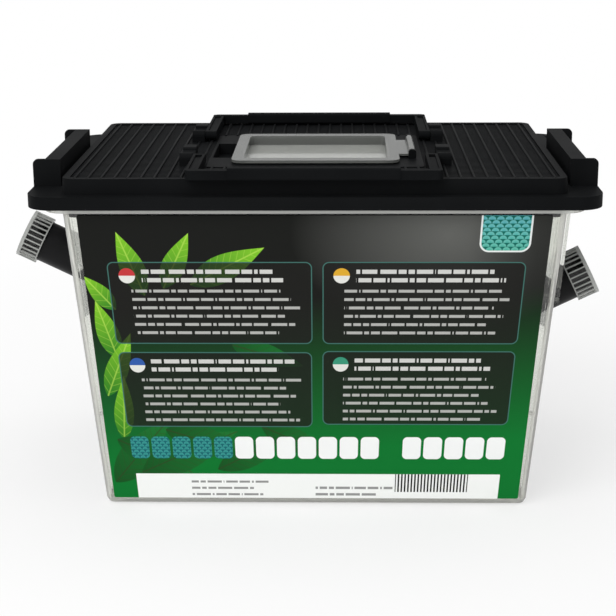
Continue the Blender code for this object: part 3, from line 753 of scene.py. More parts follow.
@dataclass(frozen=True)
class ClearPlastic:
    """Clear injection-moulded plastic with faint flow marks."""

    name: str
    tint: Colour
    roughness: float = 0.03
    waviness: float = 0.04
    clearness: float = 1.0
    bending: float = 1.49
    wave_height: float = 0.0004
    wave_scale: float = 35.0
    smear_scale: float = 60.0
    smear: float = 0.02

    def build(self) -> bpy.types.Material:
        """Make the material.

        Returns:
            The material.
        """
        made, wiring, shader = start_material(self.name)
        place = wiring.place()
        shader.inputs["Base Color"].default_value = self.tint
        shader.inputs["Transmission Weight"].default_value = self.clearness
        shader.inputs["IOR"].default_value = self.bending
        marks = wiring.noise(place, self.smear_scale, 5.0)
        smears = wiring.span(marks, 0.55, 0.8, self.roughness, self.roughness + self.smear)
        wiring.feed(shader.inputs["Roughness"], smears)
        waves = wiring.noise(place, self.wave_scale, 1.0)
        wiring.feed(shader.inputs["Normal"], wiring.bump(waves, self.waviness, self.wave_height))
        return made


@dataclass(frozen=True)
class PrintBox:
    """A rounded rectangle on the label, in millimetres; its line is half the border's width."""

    left: float
    right: float
    low: float
    high: float
    corner: float
    line: float


@dataclass(frozen=True)
class Dashes:
    """Rows of dashes on the label that stand in for lines of print, in millimetres."""

    left: float
    right: float
    top: float
    pitch: float
    thickness: float
    rows: float
    seed: float


@dataclass(frozen=True)
class Press:
    """Lays out the masks of the label's print, at a place across and up in millimetres."""

    wiring: Wiring
    kit: Kit
    across: Socket
    up: Socket

    def shape(self, box: PrintBox, across: Socket | None = None) -> bpy.types.Node:
        """Lay out a rounded rectangle.

        Args:
            box: Its edges, corners and line.
            across: The place across, where it isn't the label's own.

        Returns:
            The node with its fill and border masks.
        """
        return self.wiring.use(
            self.kit.panel,
            Across=self.across if across is None else across,
            Up=self.up,
            Middle_Across=(box.left + box.right) / 2,
            Middle_Up=(box.low + box.high) / 2,
            Half_Width=(box.right - box.left) / 2,
            Half_Height=(box.high - box.low) / 2,
            Corner=box.corner,
            Line=box.line,
        )

    def dashes(self, rows: Dashes, strength: float) -> Socket:
        """Lay out rows of dashes that stand in for lines of print.

        Args:
            rows: Where the rows lie.
            strength: How strongly they are printed.

        Returns:
            The ink's mask.
        """
        sizes = {name.capitalize(): value for name, value in vars(rows).items()}
        made = self.wiring.use(self.kit.dashes, Across=self.across, Up=self.up, **sizes)
        return self.wiring.multiply(made.outputs["Ink"], strength)

    def scales(self, size: float) -> bpy.types.Node:
        """Lay out round scales of one size."""
        return self.wiring.use(self.kit.scales, Across=self.across, Up=self.up, Size=size)


@dataclass(frozen=True)
class PrintedLabel:
    """Printed film: charcoal to green, with leaves, four bordered panels, scales and plain dashes."""

    name: str
    gloss: float = 0.06
    foot_half: float = 111.7
    widening: float = 0.0715
    print_half: float = 118.0
    charcoal: Colour = linear(26, 27, 25)
    green: Colour = linear(14, 118, 48)
    fade: tuple[float, float] = (124.0, 34.0)
    fade_tilt: float = -0.06
    glow_grey: Colour = linear(104, 105, 102)
    glow_middle: tuple[float, float] = (68.0, 158.0)
    glow_squash: float = 1.45
    glow_reach: float = 80.0
    panels: tuple[tuple[float, float, float, float], ...] = (
        (-105.7, -1.4, 96.8, 142.5),
        (4.5, 107.3, 96.8, 142.5),
        (-105.4, -1.7, 48.0, 91.5),
        (4.4, 107.0, 49.5, 92.2),
    )
    panel_corner: float = 3.2
    panel_line: float = 0.28
    dots: tuple[Colour, ...] = (linear(196, 60, 62), linear(222, 170, 52), linear(52, 92, 168), linear(60, 150, 120))
    dot_radius: float = 4.2
    dot_place: tuple[float, float] = (9.5, 7.4)
    leaves: tuple[tuple[float, float, float, float, float], ...] = (
        (-88.0, 124.0, 108.0, 37.0, 13.0),
        (-78.0, 128.0, 64.0, 34.0, 12.0),
        (-64.0, 130.0, 28.0, 44.0, 15.0),
        (-104.0, 116.0, 128.0, 24.0, 10.0),
        (-106.0, 88.0, 104.0, 34.0, 12.0),
        (-114.0, 66.0, 66.0, 40.0, 12.0),
        (-108.0, 40.0, 84.0, 38.0, 11.0),
        (-116.0, 14.0, 48.0, 52.0, 19.0),
        (-112.0, 40.0, -26.0, 46.0, 16.0),
        (-100.0, 20.0, 24.0, 62.0, 20.0),
        (-84.0, 46.0, -18.0, 52.0, 17.0),
        (-56.0, 22.0, 26.0, 50.0, 15.0),
        (-30.0, 48.0, -24.0, 44.0, 14.0),
        (-44.0, 96.0, -18.0, 40.0, 13.0),
    )
    bright_leaves: int = 7
    bright_inks: tuple[Colour, Colour, Colour] = (linear(34, 120, 36), linear(132, 200, 46), linear(186, 226, 92))
    dark_inks: tuple[Colour, Colour, Colour] = (linear(22, 84, 34), linear(30, 118, 50), linear(52, 58, 34))
    tile_start: float = 104.8
    tile_step: float = 11.86
    tile_gap: float = 1.5
    tile_edges: tuple[float, float] = (28.6, 41.8)
    scaly_tiles: tuple[int, int] = (0, 4)
    white_tiles: tuple[tuple[int, int], ...] = ((5, 11), (13, 17))
    strip: PrintBox = PrintBox(-103.8, 106.2, -6.0, 19.3, 0.4, 0.2)
    strip_foot: float = 3.4
    stripes: PrintBox = PrintBox(46.0, 88.0, 8.4, 24.0, 0.2, 0.2)
    stripe_pitch: float = 1.9
    notes: tuple[Dashes, ...] = (
        Dashes(-72.0, -26.0, 16.4, 3.9, 1.3, 3.0, 5.0),
        Dashes(0.0, 46.0, 12.8, 4.0, 1.5, 2.0, 5.0),
    )
    tab: PrintBox = PrintBox(83.4, 108.2, 148.6, 184.0, 4.6, 0.45)

    def coordinates(self, wiring: Wiring) -> tuple[Socket, Socket]:
        """Give the place on the label in millimetres; the print narrows downwards as the label does.

        Args:
            wiring: The material's wiring.

        Returns:
            The sockets for the place across and up.
        """
        parts = wiring.node("ShaderNodeSeparateXYZ")
        wiring.feed(parts.inputs[0], wiring.place())
        up = wiring.multiply(parts.outputs["Z"], 1000.0)
        half_width = wiring.math("ADD", wiring.multiply(up, self.widening), self.foot_half)
        share = wiring.math("DIVIDE", self.print_half * 1000.0, half_width)
        return wiring.multiply(parts.outputs["X"], share), up

    def background(self, press: Press) -> Socket:
        """Print charcoal with a grey glow at the upper right, which turns green downwards.

        Args:
            press: Lays out the print.

        Returns:
            The colour's socket.
        """
        wiring, across, up = press.wiring, press.across, press.up
        slow = wiring.multiply(across, self.fade_tilt)
        fall = wiring.span(wiring.math("ADD", up, slow), *self.fade)
        base = wiring.mix(wiring.math("POWER", fall, 1.3), self.charcoal, self.green)
        right = wiring.subtract(across, self.glow_middle[0])
        rise = wiring.multiply(wiring.subtract(up, self.glow_middle[1]), self.glow_squash)
        squares = wiring.math("ADD", wiring.multiply(right, right), wiring.multiply(rise, rise))
        near = wiring.span(wiring.math("SQRT", squares), self.glow_reach, 0.0)
        glow = wiring.multiply(near, wiring.span(across, 112.0, 78.0, 0.35, 0.85))
        return wiring.mix(glow, base, self.glow_grey)

    def draw_leaves(self, press: Press, under: Socket) -> Socket:
        """Print the sprays of leaves over a colour, the lower ones darker.

        Args:
            press: Lays out the print.
            under: The colour below it.

        Returns:
            The colour's socket.
        """
        wiring, colour = press.wiring, under
        for number, (root_x, root_z, degrees, length, width) in enumerate(self.leaves):
            leaf = wiring.use(
                press.kit.leaf,
                Across=press.across,
                Up=press.up,
                Root_Across=root_x,
                Root_Up=root_z,
                Turn=math.radians(degrees),
                Length=length,
                Width=width,
            )
            root, tip, vein = self.bright_inks if number < self.bright_leaves else self.dark_inks
            blade = wiring.mix(leaf.outputs["Along"], root, tip)
            blade = wiring.mix(wiring.multiply(leaf.outputs["Vein"], 0.55), blade, vein)
            colour = wiring.mix(leaf.outputs["Fill"], colour, blade)
        return colour

    def draw_panels(self, press: Press, under: Socket) -> Socket:
        """Print the four dark panels with their borders, dots and dashes over a colour.

        Args:
            press: Lays out the print.
            under: The colour below it.

        Returns:
            The colour's socket.
        """
        wiring, colour, radius = press.wiring, under, self.dot_radius
        for number, (left, right, low, high) in enumerate(self.panels):
            panel = press.shape(PrintBox(left, right, low, high, self.panel_corner, self.panel_line))
            colour = wiring.mix(wiring.multiply(panel.outputs["Fill"], 0.88), colour, linear(31, 31, 29))
            colour = wiring.mix(panel.outputs["Border"], colour, linear(66, 112, 104))
            x, z = left + self.dot_place[0], high - self.dot_place[1]
            dot = press.shape(PrintBox(x - radius, x + radius, z - radius, z + radius, radius, 0.3))
            halves = wiring.mix(wiring.math("GREATER_THAN", press.up, z), linear(228, 228, 222), self.dots[number])
            colour = wiring.mix(dot.outputs["Fill"], colour, halves)
            headline = Dashes(left + 17.0, right - 8.0, high - 2.8, 4.7, 2.3, 2.0, 3.0 + number)
            lines = Dashes(left + 11.0, right - 5.0, high - 13.6, 4.72, 1.55, 6.0, 11.0 + number)
            colour = wiring.mix(press.dashes(headline, 0.84), colour, linear(224, 224, 220))
            colour = wiring.mix(press.dashes(lines, 0.66), colour, linear(214, 214, 210))
        return colour

    def draw_tiles(self, press: Press, under: Socket) -> Socket:
        """Print the row of plain and scaly tiles over a colour.

        Args:
            press: Lays out the print.
            under: The colour below it.

        Returns:
            The colour's socket.
        """
        wiring, colour, white = press.wiring, under, linear(250, 251, 250)
        scales = press.scales(3.4)
        scaly = wiring.mix(scales.outputs["Shade"], linear(38, 132, 128), linear(86, 182, 176))
        scaly = wiring.mix(scales.outputs["Edge"], scaly, linear(24, 96, 104))
        column = wiring.math("DIVIDE", wiring.math("ADD", press.across, self.tile_start), self.tile_step)
        beside = wiring.multiply(wiring.math("FRACT", column), self.tile_step)
        tile = press.shape(PrintBox(0.0, self.tile_step - self.tile_gap, *self.tile_edges, 2.6, 0.3), beside)
        number = wiring.math("FLOOR", column)
        for (first, last), ink in ((self.scaly_tiles, scaly), *((row, white) for row in self.white_tiles)):
            wanted = wiring.math("COMPARE", number, (first + last) / 2, (last - first) / 2 + 0.2)
            colour = wiring.mix(wiring.multiply(tile.outputs["Fill"], wanted), colour, ink)
        return colour

    def draw_strip(self, press: Press, under: Socket) -> Socket:
        """Print the white strip with its equal stripes and plain dashes over a colour.

        Args:
            press: Lays out the print.
            under: The colour below it.

        Returns:
            The colour's socket.
        """
        wiring, up = press.wiring, press.up
        strip, patch = press.shape(self.strip), press.shape(self.stripes)
        low_edge = wiring.math("GREATER_THAN", up, self.strip_foot)
        colour = wiring.mix(wiring.multiply(strip.outputs["Fill"], low_edge), under, linear(252, 253, 251))
        wave = wiring.math("FRACT", wiring.math("DIVIDE", press.across, self.stripe_pitch))
        in_strip = wiring.multiply(patch.outputs["Fill"], wiring.math("LESS_THAN", up, self.strip.high))
        stripe = wiring.multiply(wiring.math("LESS_THAN", wave, 0.5), in_strip)
        colour = wiring.mix(stripe, colour, linear(34, 34, 34))
        for rows in self.notes:
            colour = wiring.mix(press.dashes(rows, 0.7), colour, linear(50, 50, 50))
        return colour

    def draw_tab(self, press: Press, under: Socket) -> Socket:
        """Print the bordered corner tab with its scales over a colour.

        Args:
            press: Lays out the print.
            under: The colour below it.

        Returns:
            The colour's socket.
        """
        wiring, scales = press.wiring, press.scales(4.2)
        colour = wiring.mix(wiring.span(press.up, 150.0, 168.0), linear(74, 172, 150), linear(82, 168, 184))
        colour = wiring.mix(wiring.multiply(scales.outputs["Shade"], 0.9), colour, linear(140, 214, 200))
        colour = wiring.mix(scales.outputs["Edge"], colour, linear(20, 104, 92))
        tab = press.shape(self.tab)
        colour = wiring.mix(tab.outputs["Fill"], under, colour)
        return wiring.mix(tab.outputs["Border"], colour, linear(232, 236, 234))

    def build(self, kit: Kit) -> bpy.types.Material:
        """Make the material.

        Args:
            kit: The shared node groups.

        Returns:
            The material.
        """
        made, wiring, shader = start_material(self.name)
        press = Press(wiring, kit, *self.coordinates(wiring))
        colour = self.background(press)
        for draw in (self.draw_leaves, self.draw_panels, self.draw_tiles, self.draw_strip, self.draw_tab):
            colour = draw(press, colour)
        wiring.feed(shader.inputs["Base Color"], colour)
        smears = wiring.span(wiring.noise(wiring.place(), 45.0), 0.3, 0.7, 0.3, 0.42)
        wiring.feed(shader.inputs["Roughness"], smears)
        shader.inputs["Specular IOR Level"].default_value = self.gloss
        return made


@dataclass(frozen=True)
class Finishes:
    """Every finish of the box, as built materials."""

    lid_black: bpy.types.Material
    handle_black: bpy.types.Material
    tube_black: bpy.types.Material
    dish_grey: bpy.types.Material
    tub_clear: bpy.types.Material
    lip_painted_light: bpy.types.Material
    corner_painted_light: bpy.types.Material
    rim_clear: bpy.types.Material
    rib_clear: bpy.types.Material
    pane_painted_reflection: bpy.types.Material
    cap_clear: bpy.types.Material
    label_print: bpy.types.Material


def make_finishes() -> Finishes:
    """Build the shared groups and every finish.

    Returns:
        The finishes.
    """
    kit = Kit(grain_group(), dust_group(), panel_group(), leaf_group(), dash_group(), scale_group())
    return Finishes(
        lid_black=MouldedPlastic("lid_black", linear(17, 18, 19), 0.5, gloss=0.02, dust=0.001).build(kit),
        handle_black=MouldedPlastic("handle_black", linear(16, 17, 18), 0.5, gloss=0.01, dust=0.001).build(kit),
        tube_black=MouldedPlastic("tube_black", linear(17, 17, 18), 0.38, gloss=0.12, dust=0.002).build(kit),
        dish_grey=MouldedPlastic("dish_grey", linear(62, 62, 62), 0.5, gloss=0.3).build(kit),
        tub_clear=ClearPlastic("tub_clear", linear(240, 241, 237), 0.0, 0.005).build(),
        # Painted light: the lip's pale, half-diffuse tint stands in for the white light seen through the clear lip of
        # the tub.
        lip_painted_light=ClearPlastic("lip_painted_light", linear(222, 223, 218), 0.35, 0.02, 0.35).build(),
        # Painted light: the pale, half-diffuse tint of the tub's rounded corners stands in for the light that the
        # clear corners bend and reflect.
        corner_painted_light=ClearPlastic("corner_painted_light", linear(236, 236, 230), 0.2, 0.0, 0.55, 1.3).build(),
        rim_clear=ClearPlastic("rim_clear", linear(126, 128, 125), 0.2, 0.0, 0.45, 1.3).build(),
        rib_clear=ClearPlastic("rib_clear", linear(200, 202, 198), 0.3, 0.0, 0.35).build(),
        # Painted reflection: the hatch pane's pale grey, half-diffuse tint stands in for the white backdrop reflected
        # in the clear pane.
        pane_painted_reflection=ClearPlastic("pane_painted_reflection", linear(196, 198, 193), 0.08, 0.0, 0.45, 1.3).build(),
        cap_clear=ClearPlastic("cap_clear", linear(238, 238, 236), 0.03, 0.0, 1.0, 1.3).build(),
        label_print=PrintedLabel("label_print").build(kit),
    )


def dress(piece: bpy.types.Object, finish: bpy.types.Material) -> bpy.types.Object:
    """Give a piece one finish all over.

    Args:
        piece: The piece.
        finish: Its finish.

    Returns:
        The same piece.
    """
    piece.data.materials.clear()
    piece.data.materials.append(finish)
    for face in piece.data.polygons:
        face.material_index = 0
    return piece


# Sub-assemblies


@dataclass
class Lid:
    """The black lid: rim, vent deck, hatch seat, lugs, handle ears."""

    half_length: float = 0.150
    half_depth: float = 0.1002
    rim_low: float = 0.1719
    ledge_top: float = 0.1788
    ledge_low: float = 0.1766
    rim_corner: float = 0.014
    wall: float = 0.0022
    deck_half_length: float = 0.1313
    deck_half_depth: float = 0.0926
    deck_draft: float = 0.0006
    deck_top: float = 0.1871
    deck_corner: float = 0.006
    plate: float = 0.002
    rib_height: float = 0.0008
    bead: float = 0.0016
    bead_inset: float = 0.0004
    bead_past: float = 0.002
    skirt_low: float = 0.1666
    skirt_half: tuple[float, float] = (0.1292, 0.0914)
    skirt_corner: float = 0.005
    skirt_wall: tuple[float, float] = (0.0016, 0.0022)
    hollow_corner: float = 0.004
    rib_pitch: float = 0.00694
    rib_width: float = 0.0013
    rib_round: float = 0.0004
    rib_depth: float = 0.0012
    slit_pitch: float = 0.00347
    slit_width: float = 0.0015
    slat_round: float = 0.0003
    bezel_half: float = 0.0590
    bezel_front: float = -0.0565
    bezel_back: float = 0.0462
    bezel_rise: float = 0.0003
    bezel_corner: float = 0.002
    seat_middle: float = -0.0055
    seat_half: tuple[float, float] = (0.0419, 0.0384)
    seat_corner: float = 0.0046
    well_wall: float = 0.0016
    well_low: float = 0.1803
    recess: tuple[float, float] = (-0.0575, -0.0435)
    recess_half: float = 0.023
    recess_low: float = 0.1803
    pit_wall: tuple[float, float, float] = (0.0012, 0.0014, 0.0008)
    hinge: tuple[float, float] = (0.0535, 0.1895)
    knuckle_radius: float = 0.0021
    knuckle_round: float = 0.0016
    knuckle_near: float = 0.0233
    knuckle_length: float = 0.0036
    knuckle_bore: float = 0.0013
    knuckle_bore_reach: tuple[float, float] = (0.001, 0.0030)
    ear_inner: float = 0.0666
    ear_width: float = 0.0072
    ear_axis: float = 0.1899
    ear_pivots: tuple[float, float] = (-0.048, 0.028)
    ear_foot: float = 0.0006
    ear_boss: float = 0.0030
    ear_foot_half: float = 0.0036
    ear_bore: float = 0.0018
    ear_bore_reach: tuple[float, float] = (-0.002, 0.0050)
    web: tuple[float, float] = (0.0030, 0.0195)
    web_top: float = 0.0026
    web_rise: float = 0.0026
    stop: tuple[float, float] = (0.0180, 0.0285)
    stop_top: float = 0.0064
    stop_round: float = 0.0012
    lug_front: float = -0.070
    lug_back: float = 0.030
    lug_top: float = 0.1933
    lug_width: float = 0.0147
    lug_end: float = 0.0024
    lug_wall: float = 0.0022
    lug_inset: float = 0.001
    lug_gap: float = 0.0064
    lug_foot: float = 0.0006
    lug_round: float = 0.0026
    edge: float = 0.00035

    def plate_top(self) -> float:
        """Give the height of the deck plate between the ribs."""
        return self.deck_top - self.rib_height

    def rounded(
        self, name: str, half: Point, low: float, high: float, corner: float, middle: float = 0.0
    ) -> bpy.types.Object:
        """Add a block with rounded plan corners.

        Args:
            name: The piece's name.
            half: Half its length and half its depth.
            low: Its lowest height.
            high: Its highest height.
            corner: The radius of its plan corners.
            middle: Where its middle lies in the depth.

        Returns:
            The piece.
        """
        piece = block(name, (-half[0], middle - half[1], low), (half[0], middle + half[1], high))
        round_off(piece, along(2), corner, 8)
        return piece

    def deck(self) -> bpy.types.Object:
        """Model the solid deck, whose walls lean in by the draft.

        Returns:
            The deck.
        """
        foot = (self.deck_half_length + self.deck_draft, self.deck_half_depth + self.deck_draft)
        deck = block("deck", (-foot[0], -foot[1], self.ledge_low + OVERLAP), (foot[0], foot[1], self.deck_top))
        pick(deck, Pick.FACES, lambda face: face.normal.z > 0.9)
        shrink = (self.deck_half_length / foot[0], self.deck_half_depth / foot[1], 1)
        bpy.ops.transform.resize(value=shrink, center_override=(0, 0, self.deck_top))
        done()
        round_off(deck, along(2), self.deck_corner, 8)
        return deck

    def shell(self) -> bpy.types.Object:
        """Model the rim, the ledge, the deck wall and the skirt as one hollow solid.

        Returns:
            The shell.
        """
        outer = (self.half_length, self.half_depth)
        inner = (self.half_length - self.wall, self.half_depth - self.wall)
        shell = self.rounded("lid_shell", outer, self.rim_low, self.ledge_top, self.rim_corner)
        corner = self.rim_corner - self.wall
        carve(shell, self.rounded("tool", inner, self.rim_low - CLEARANCE, self.ledge_low, corner))
        top = self.ledge_low + OVERLAP
        unite(shell, self.deck(), self.rounded("skirt", self.skirt_half, self.skirt_low, top, self.skirt_corner))
        hollow = (self.skirt_half[0] - self.skirt_wall[0], self.skirt_half[1] - self.skirt_wall[1])
        ends = (self.skirt_low - CLEARANCE, self.deck_top + CLEARANCE)
        carve(shell, self.rounded("tool", hollow, *ends, self.hollow_corner))
        return shell

    def deck_frame(self) -> bpy.types.Object:
        """Model the bead along the deck's edge, which closes the deck wall at the top.

        Returns:
            The bead.
        """
        half = (self.deck_half_length - self.bead_inset, self.deck_half_depth - self.bead_inset)
        low, corner = self.plate_top() - self.plate, self.deck_corner - self.bead_inset
        bead = self.rounded("deck_frame", half, low, self.deck_top, corner)
        inner = (half[0] - self.bead, half[1] - self.bead)
        ends = (low - self.bead_past, self.deck_top + self.bead_past)
        carve(bead, self.rounded("tool", inner, *ends, self.deck_corner - self.bead))
        return bead

    def add_knuckle(self, plate: bpy.types.Object, end: int) -> None:
        """Join one bored hinge knuckle to the bezel.

        Args:
            plate: The bezel.
            end: -1 for the front knuckle, 1 for the back one.
        """
        near = self.seat_middle + end * self.knuckle_near
        front, back = sorted((near, near + end * self.knuckle_length))
        x, z = self.hinge
        radius = self.knuckle_radius
        low = (x - radius, front, self.plate_top() - OVERLAP)
        knuckle = block("knuckle", low, (x + radius, back, z + radius))
        round_off(knuckle, at(1, lambda place: place.z > z), self.knuckle_round, 4)
        unite(plate, knuckle)
        start, stop = near - end * self.knuckle_bore_reach[0], near + end * self.knuckle_bore_reach[1]
        carve(plate, cylinder("bore", self.knuckle_bore, (x, start, z), (x, stop, z), 20))

    def bezel(self) -> bpy.types.Object:
        """Model the plain plate round the hatch, with its well, finger recess and hatch opening.

        Returns:
            The plate.
        """
        low, middle = self.plate_top() - self.plate, self.seat_middle
        high = (self.bezel_half, self.bezel_back, self.plate_top() + self.bezel_rise)
        plate = block("bezel", (-self.bezel_half, self.bezel_front, low), high)
        round_off(plate, along(2), self.bezel_corner, 3)
        well = (self.seat_half[0] + self.well_wall, self.seat_half[1] + self.well_wall)
        corner = self.seat_corner + self.well_wall
        unite(plate, self.rounded("well", well, self.well_low, low + OVERLAP, corner, middle))
        front, back = middle - self.recess_half, middle + self.recess_half
        side, wall, inner = self.pit_wall
        start = (self.recess[0] - side, front - wall, self.recess_low - wall)
        unite(plate, block("pit", start, (self.recess[1] + inner, back + wall, low + OVERLAP)))
        top = self.deck_top + CLEARANCE
        carve(plate, block("tool", (self.recess[0], front, self.recess_low), (self.recess[1], back, top)))
        ends = (self.well_low - CLEARANCE, top)
        carve(plate, self.rounded("tool", self.seat_half, *ends, self.seat_corner, middle))
        for end in (-1, 1):
            self.add_knuckle(plate, end)
        return plate

    def slats(self) -> list[bpy.types.Object]:
        """Model one slat of each length along the lid, and copy it over the deck.

        Returns:
            The slats.
        """
        low, high = self.plate_top() - self.plate, self.plate_top()
        reach_x, reach_y = self.deck_half_length - self.bead, self.deck_half_depth - self.bead
        half = (self.slit_pitch - self.slit_width) / 2
        rows = int((reach_y - half) / self.slit_pitch)
        places = [row * self.slit_pitch for row in range(-rows, rows + 1)]
        clear = [y for y in places if y + half < self.bezel_front or y - half > self.bezel_back]
        split = [y for y in places if y not in clear]
        inner = self.bezel_half - OVERLAP
        made: list[bpy.types.Object] = []
        for start, end, wanted in ((-reach_x, reach_x, clear), (-reach_x, -inner, split), (inner, reach_x, split)):
            slat = block("slat", (start, -half, low), (end, half, high))
            round_off(slat, along(0), self.slat_round, 2)
            made += repeat(slat, [(0, y, 0) for y in wanted])
        return made

    def ribs(self) -> list[bpy.types.Object]:
        """Model one rib of each length across the lid, and copy it over the deck.

        Returns:
            The ribs.
        """
        high, half = self.plate_top(), self.rib_width / 2
        reach_x, reach_y = self.deck_half_length - self.bead, self.deck_half_depth - self.bead
        count = int((reach_x - half) / self.rib_pitch)
        columns = [rib * self.rib_pitch for rib in range(-count, count + 1)]
        outer = [x for x in columns if abs(x) > self.bezel_half]
        inner = [x for x in columns if x not in outer]
        front, back = self.bezel_front + OVERLAP, self.bezel_back - OVERLAP
        made: list[bpy.types.Object] = []
        for start, end, wanted in ((-reach_y, reach_y, outer), (-reach_y, front, inner), (back, reach_y, inner)):
            rib = block("rib", (-half, start, high - self.rib_depth), (half, end, self.deck_top))
            round_off(rib, at(1, lambda place: place.z > high), self.rib_round, 3)
            made += repeat(rib, [(x, 0, 0) for x in wanted])
        return made

    def lug(self, side: Side) -> bpy.types.Object:
        """Model one end lug: two end walls, an inner wall and a top plate that stops short.

        Args:
            side: The end of the lid it stands on.

        Returns:
            The lug.
        """
        outer, inner = self.half_length, self.half_length - self.lug_width
        low, top = self.ledge_top - self.lug_foot, self.lug_top
        front, back = self.lug_front + self.lug_inset, self.lug_back - self.lug_inset
        made = []
        for start, end, bottom, near, far in (
            (inner, outer, low, self.lug_front, self.lug_front + self.lug_end),
            (inner, outer, low, self.lug_back - self.lug_end, self.lug_back),
            (inner, inner + self.lug_wall, low, front, back),
            (inner, outer - self.lug_gap, top - self.lug_wall, front, back),
        ):
            xs = sorted((side.value * start, side.value * end))
            wall = block("wall", (xs[0], near, bottom), (xs[1], far, top))
            if end == outer:
                corner = at(1, lambda place: place.z > top - NEAR and abs(place.x) > outer - NEAR)
                round_off(wall, corner, self.lug_round, 5)
            made.append(wall)
        unite(*made)
        return made[0]

    def ear(self, side: Side, pivot: float) -> bpy.types.Object:
        """Model one handle ear and the stop behind it, tied by a low web.

        Args:
            side: The side of the handle's arm it stands on.
            pivot: Where the handle's axis lies in the depth.

        Returns:
            The ear.
        """
        low, top = self.plate_top() - self.ear_foot, self.plate_top() + self.stop_top
        left, right = sorted((side.value * self.ear_inner, side.value * (self.ear_inner + self.ear_width)))
        web_top = self.plate_top() + self.web_top
        ear = block("ear", (left, pivot + self.web[0], low), (right, pivot + self.web[1], web_top))
        middle = pivot + sum(self.web) / 2
        pick(ear, Pick.EDGES, at(0, lambda place: place.z > web_top - NEAR and place.y > middle))
        bpy.ops.transform.translate(value=(0, 0, self.web_rise))
        done()
        half = self.ear_foot_half
        foot = block("foot", (left, pivot - half, low), (right, pivot + half, self.ear_axis))
        boss = cylinder("boss", self.ear_boss, (left, pivot, self.ear_axis), (right, pivot, self.ear_axis), 40)
        stop = block("stop", (left, pivot + self.stop[0], low), (right, pivot + self.stop[1], top))
        round_off(stop, at(0, lambda place: place.z > top - NEAR), self.stop_round, 4)
        unite(ear, foot, boss, stop)
        start, end = (side.value * (self.ear_inner + step) for step in self.ear_bore_reach)
        carve(ear, cylinder("bore", self.ear_bore, (start, pivot, self.ear_axis), (end, pivot, self.ear_axis), 24))
        return ear

    def build(self, finishes: Finishes) -> None:
        """Model every part of the lid, dress it and put it on its body.

        Args:
            finishes: The box's finishes.
        """
        shell = self.shell()
        unite(shell, self.deck_frame(), self.bezel())
        for side in Side:
            unite(shell, self.lug(side), *(self.ear(side, pivot) for pivot in self.ear_pivots))
        soften(shell, self.edge, 2)
        grille = gather("lid_grille", self.slats() + self.ribs())
        soften(grille, 0)
        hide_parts("lid")
        for piece in (shell, grille):
            dress(piece, finishes.lid_black)
            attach(piece, "lid_body")
            LOG.info("built %s", piece.name)


@dataclass
class Hatch:
    """The clear hatch: a rim, a sunk pane, a tongue and its hinge barrel."""

    half: tuple[float, float] = (0.046, 0.0445)
    middle: float = -0.0055
    rim_low: float = 0.1874
    rim_high: float = 0.1889
    rim_width: tuple[float, float] = (0.0050, 0.0070)
    corner: float = 0.006
    tray_low: float = 0.1822
    wall: float = 0.0014
    hinge: tuple[float, float] = (0.0535, 0.1895)
    barrel: float = 0.0021
    pin: float = 0.0011
    pin_reach: float = 0.0029
    tongue_half: float = 0.023
    tongue_root: float = 0.002
    tongue_inset: float = 0.0002
    edge: float = 0.00025
    rim_above: float = 0.0002
    tray_past: float = 0.003

    def layer(self, name: str, inset: float, low: float, high: float, corner: float) -> bpy.types.Object:
        """Add one rounded layer of the tray.

        Args:
            name: The piece's name.
            inset: How far it stands in from the rim's inner edge.
            low: Its lowest height.
            high: Its highest height.
            corner: The radius of its plan corners.

        Returns:
            The layer.
        """
        half_x = self.half[0] - self.rim_width[0] - inset
        half_y = self.half[1] - self.rim_width[1] - inset
        piece = block(name, (-half_x, self.middle - half_y, low), (half_x, self.middle + half_y, high))
        round_off(piece, along(2), corner, 6)
        return piece

    def shape(self) -> bpy.types.Object:
        """Model the rim, the tray, the tongue and the barrel with its pins as one solid.

        Returns:
            The hatch.
        """
        half_x, half_y = self.half
        x, z = self.hinge
        low = (-half_x, self.middle - half_y, self.rim_low)
        hatch = block("hatch_window", low, (half_x, self.middle + half_y, self.rim_high))
        round_off(hatch, along(2), self.corner, 8)
        front, back = self.middle - self.tongue_half, self.middle + self.tongue_half
        root = (half_x - self.tongue_root, front, self.rim_low + self.tongue_inset)
        reach = self.pin_reach
        unite(
            hatch,
            self.layer("tray", 0, self.tray_low, self.rim_low + OVERLAP, self.corner - self.wall),
            block("tongue", root, (x, back, self.rim_high - self.tongue_inset)),
            cylinder("barrel", self.barrel, (x, front, z), (x, back, z), 32),
            cylinder("pins", self.pin, (x, front - reach, z), (x, back + reach, z), 20),
        )
        ends = (self.tray_low + self.wall, self.rim_high + self.tray_past)
        carve(hatch, self.layer("tool", self.wall, *ends, self.corner - 2 * self.wall))
        return hatch

    def build(self, finishes: Finishes) -> None:
        """Model the hatch, dress it and put it on its body.

        Args:
            finishes: The box's finishes.
        """
        hatch = self.shape()
        soften(hatch, self.edge, 2)
        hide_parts("hatch")
        dress(hatch, finishes.pane_painted_reflection)
        hatch.data.materials.append(finishes.rim_clear)
        # Painted reflection: the pane below this height takes the pale grey tint; the rim, the tray walls, the tongue
        # and the barrel take the darker rim grey.
        floor = self.tray_low + self.wall + self.rim_above
        for face in hatch.data.polygons:
            face.material_index = int(face.center.z > floor)
        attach(hatch, "hatch_body")
        LOG.info("built %s", hatch.name)


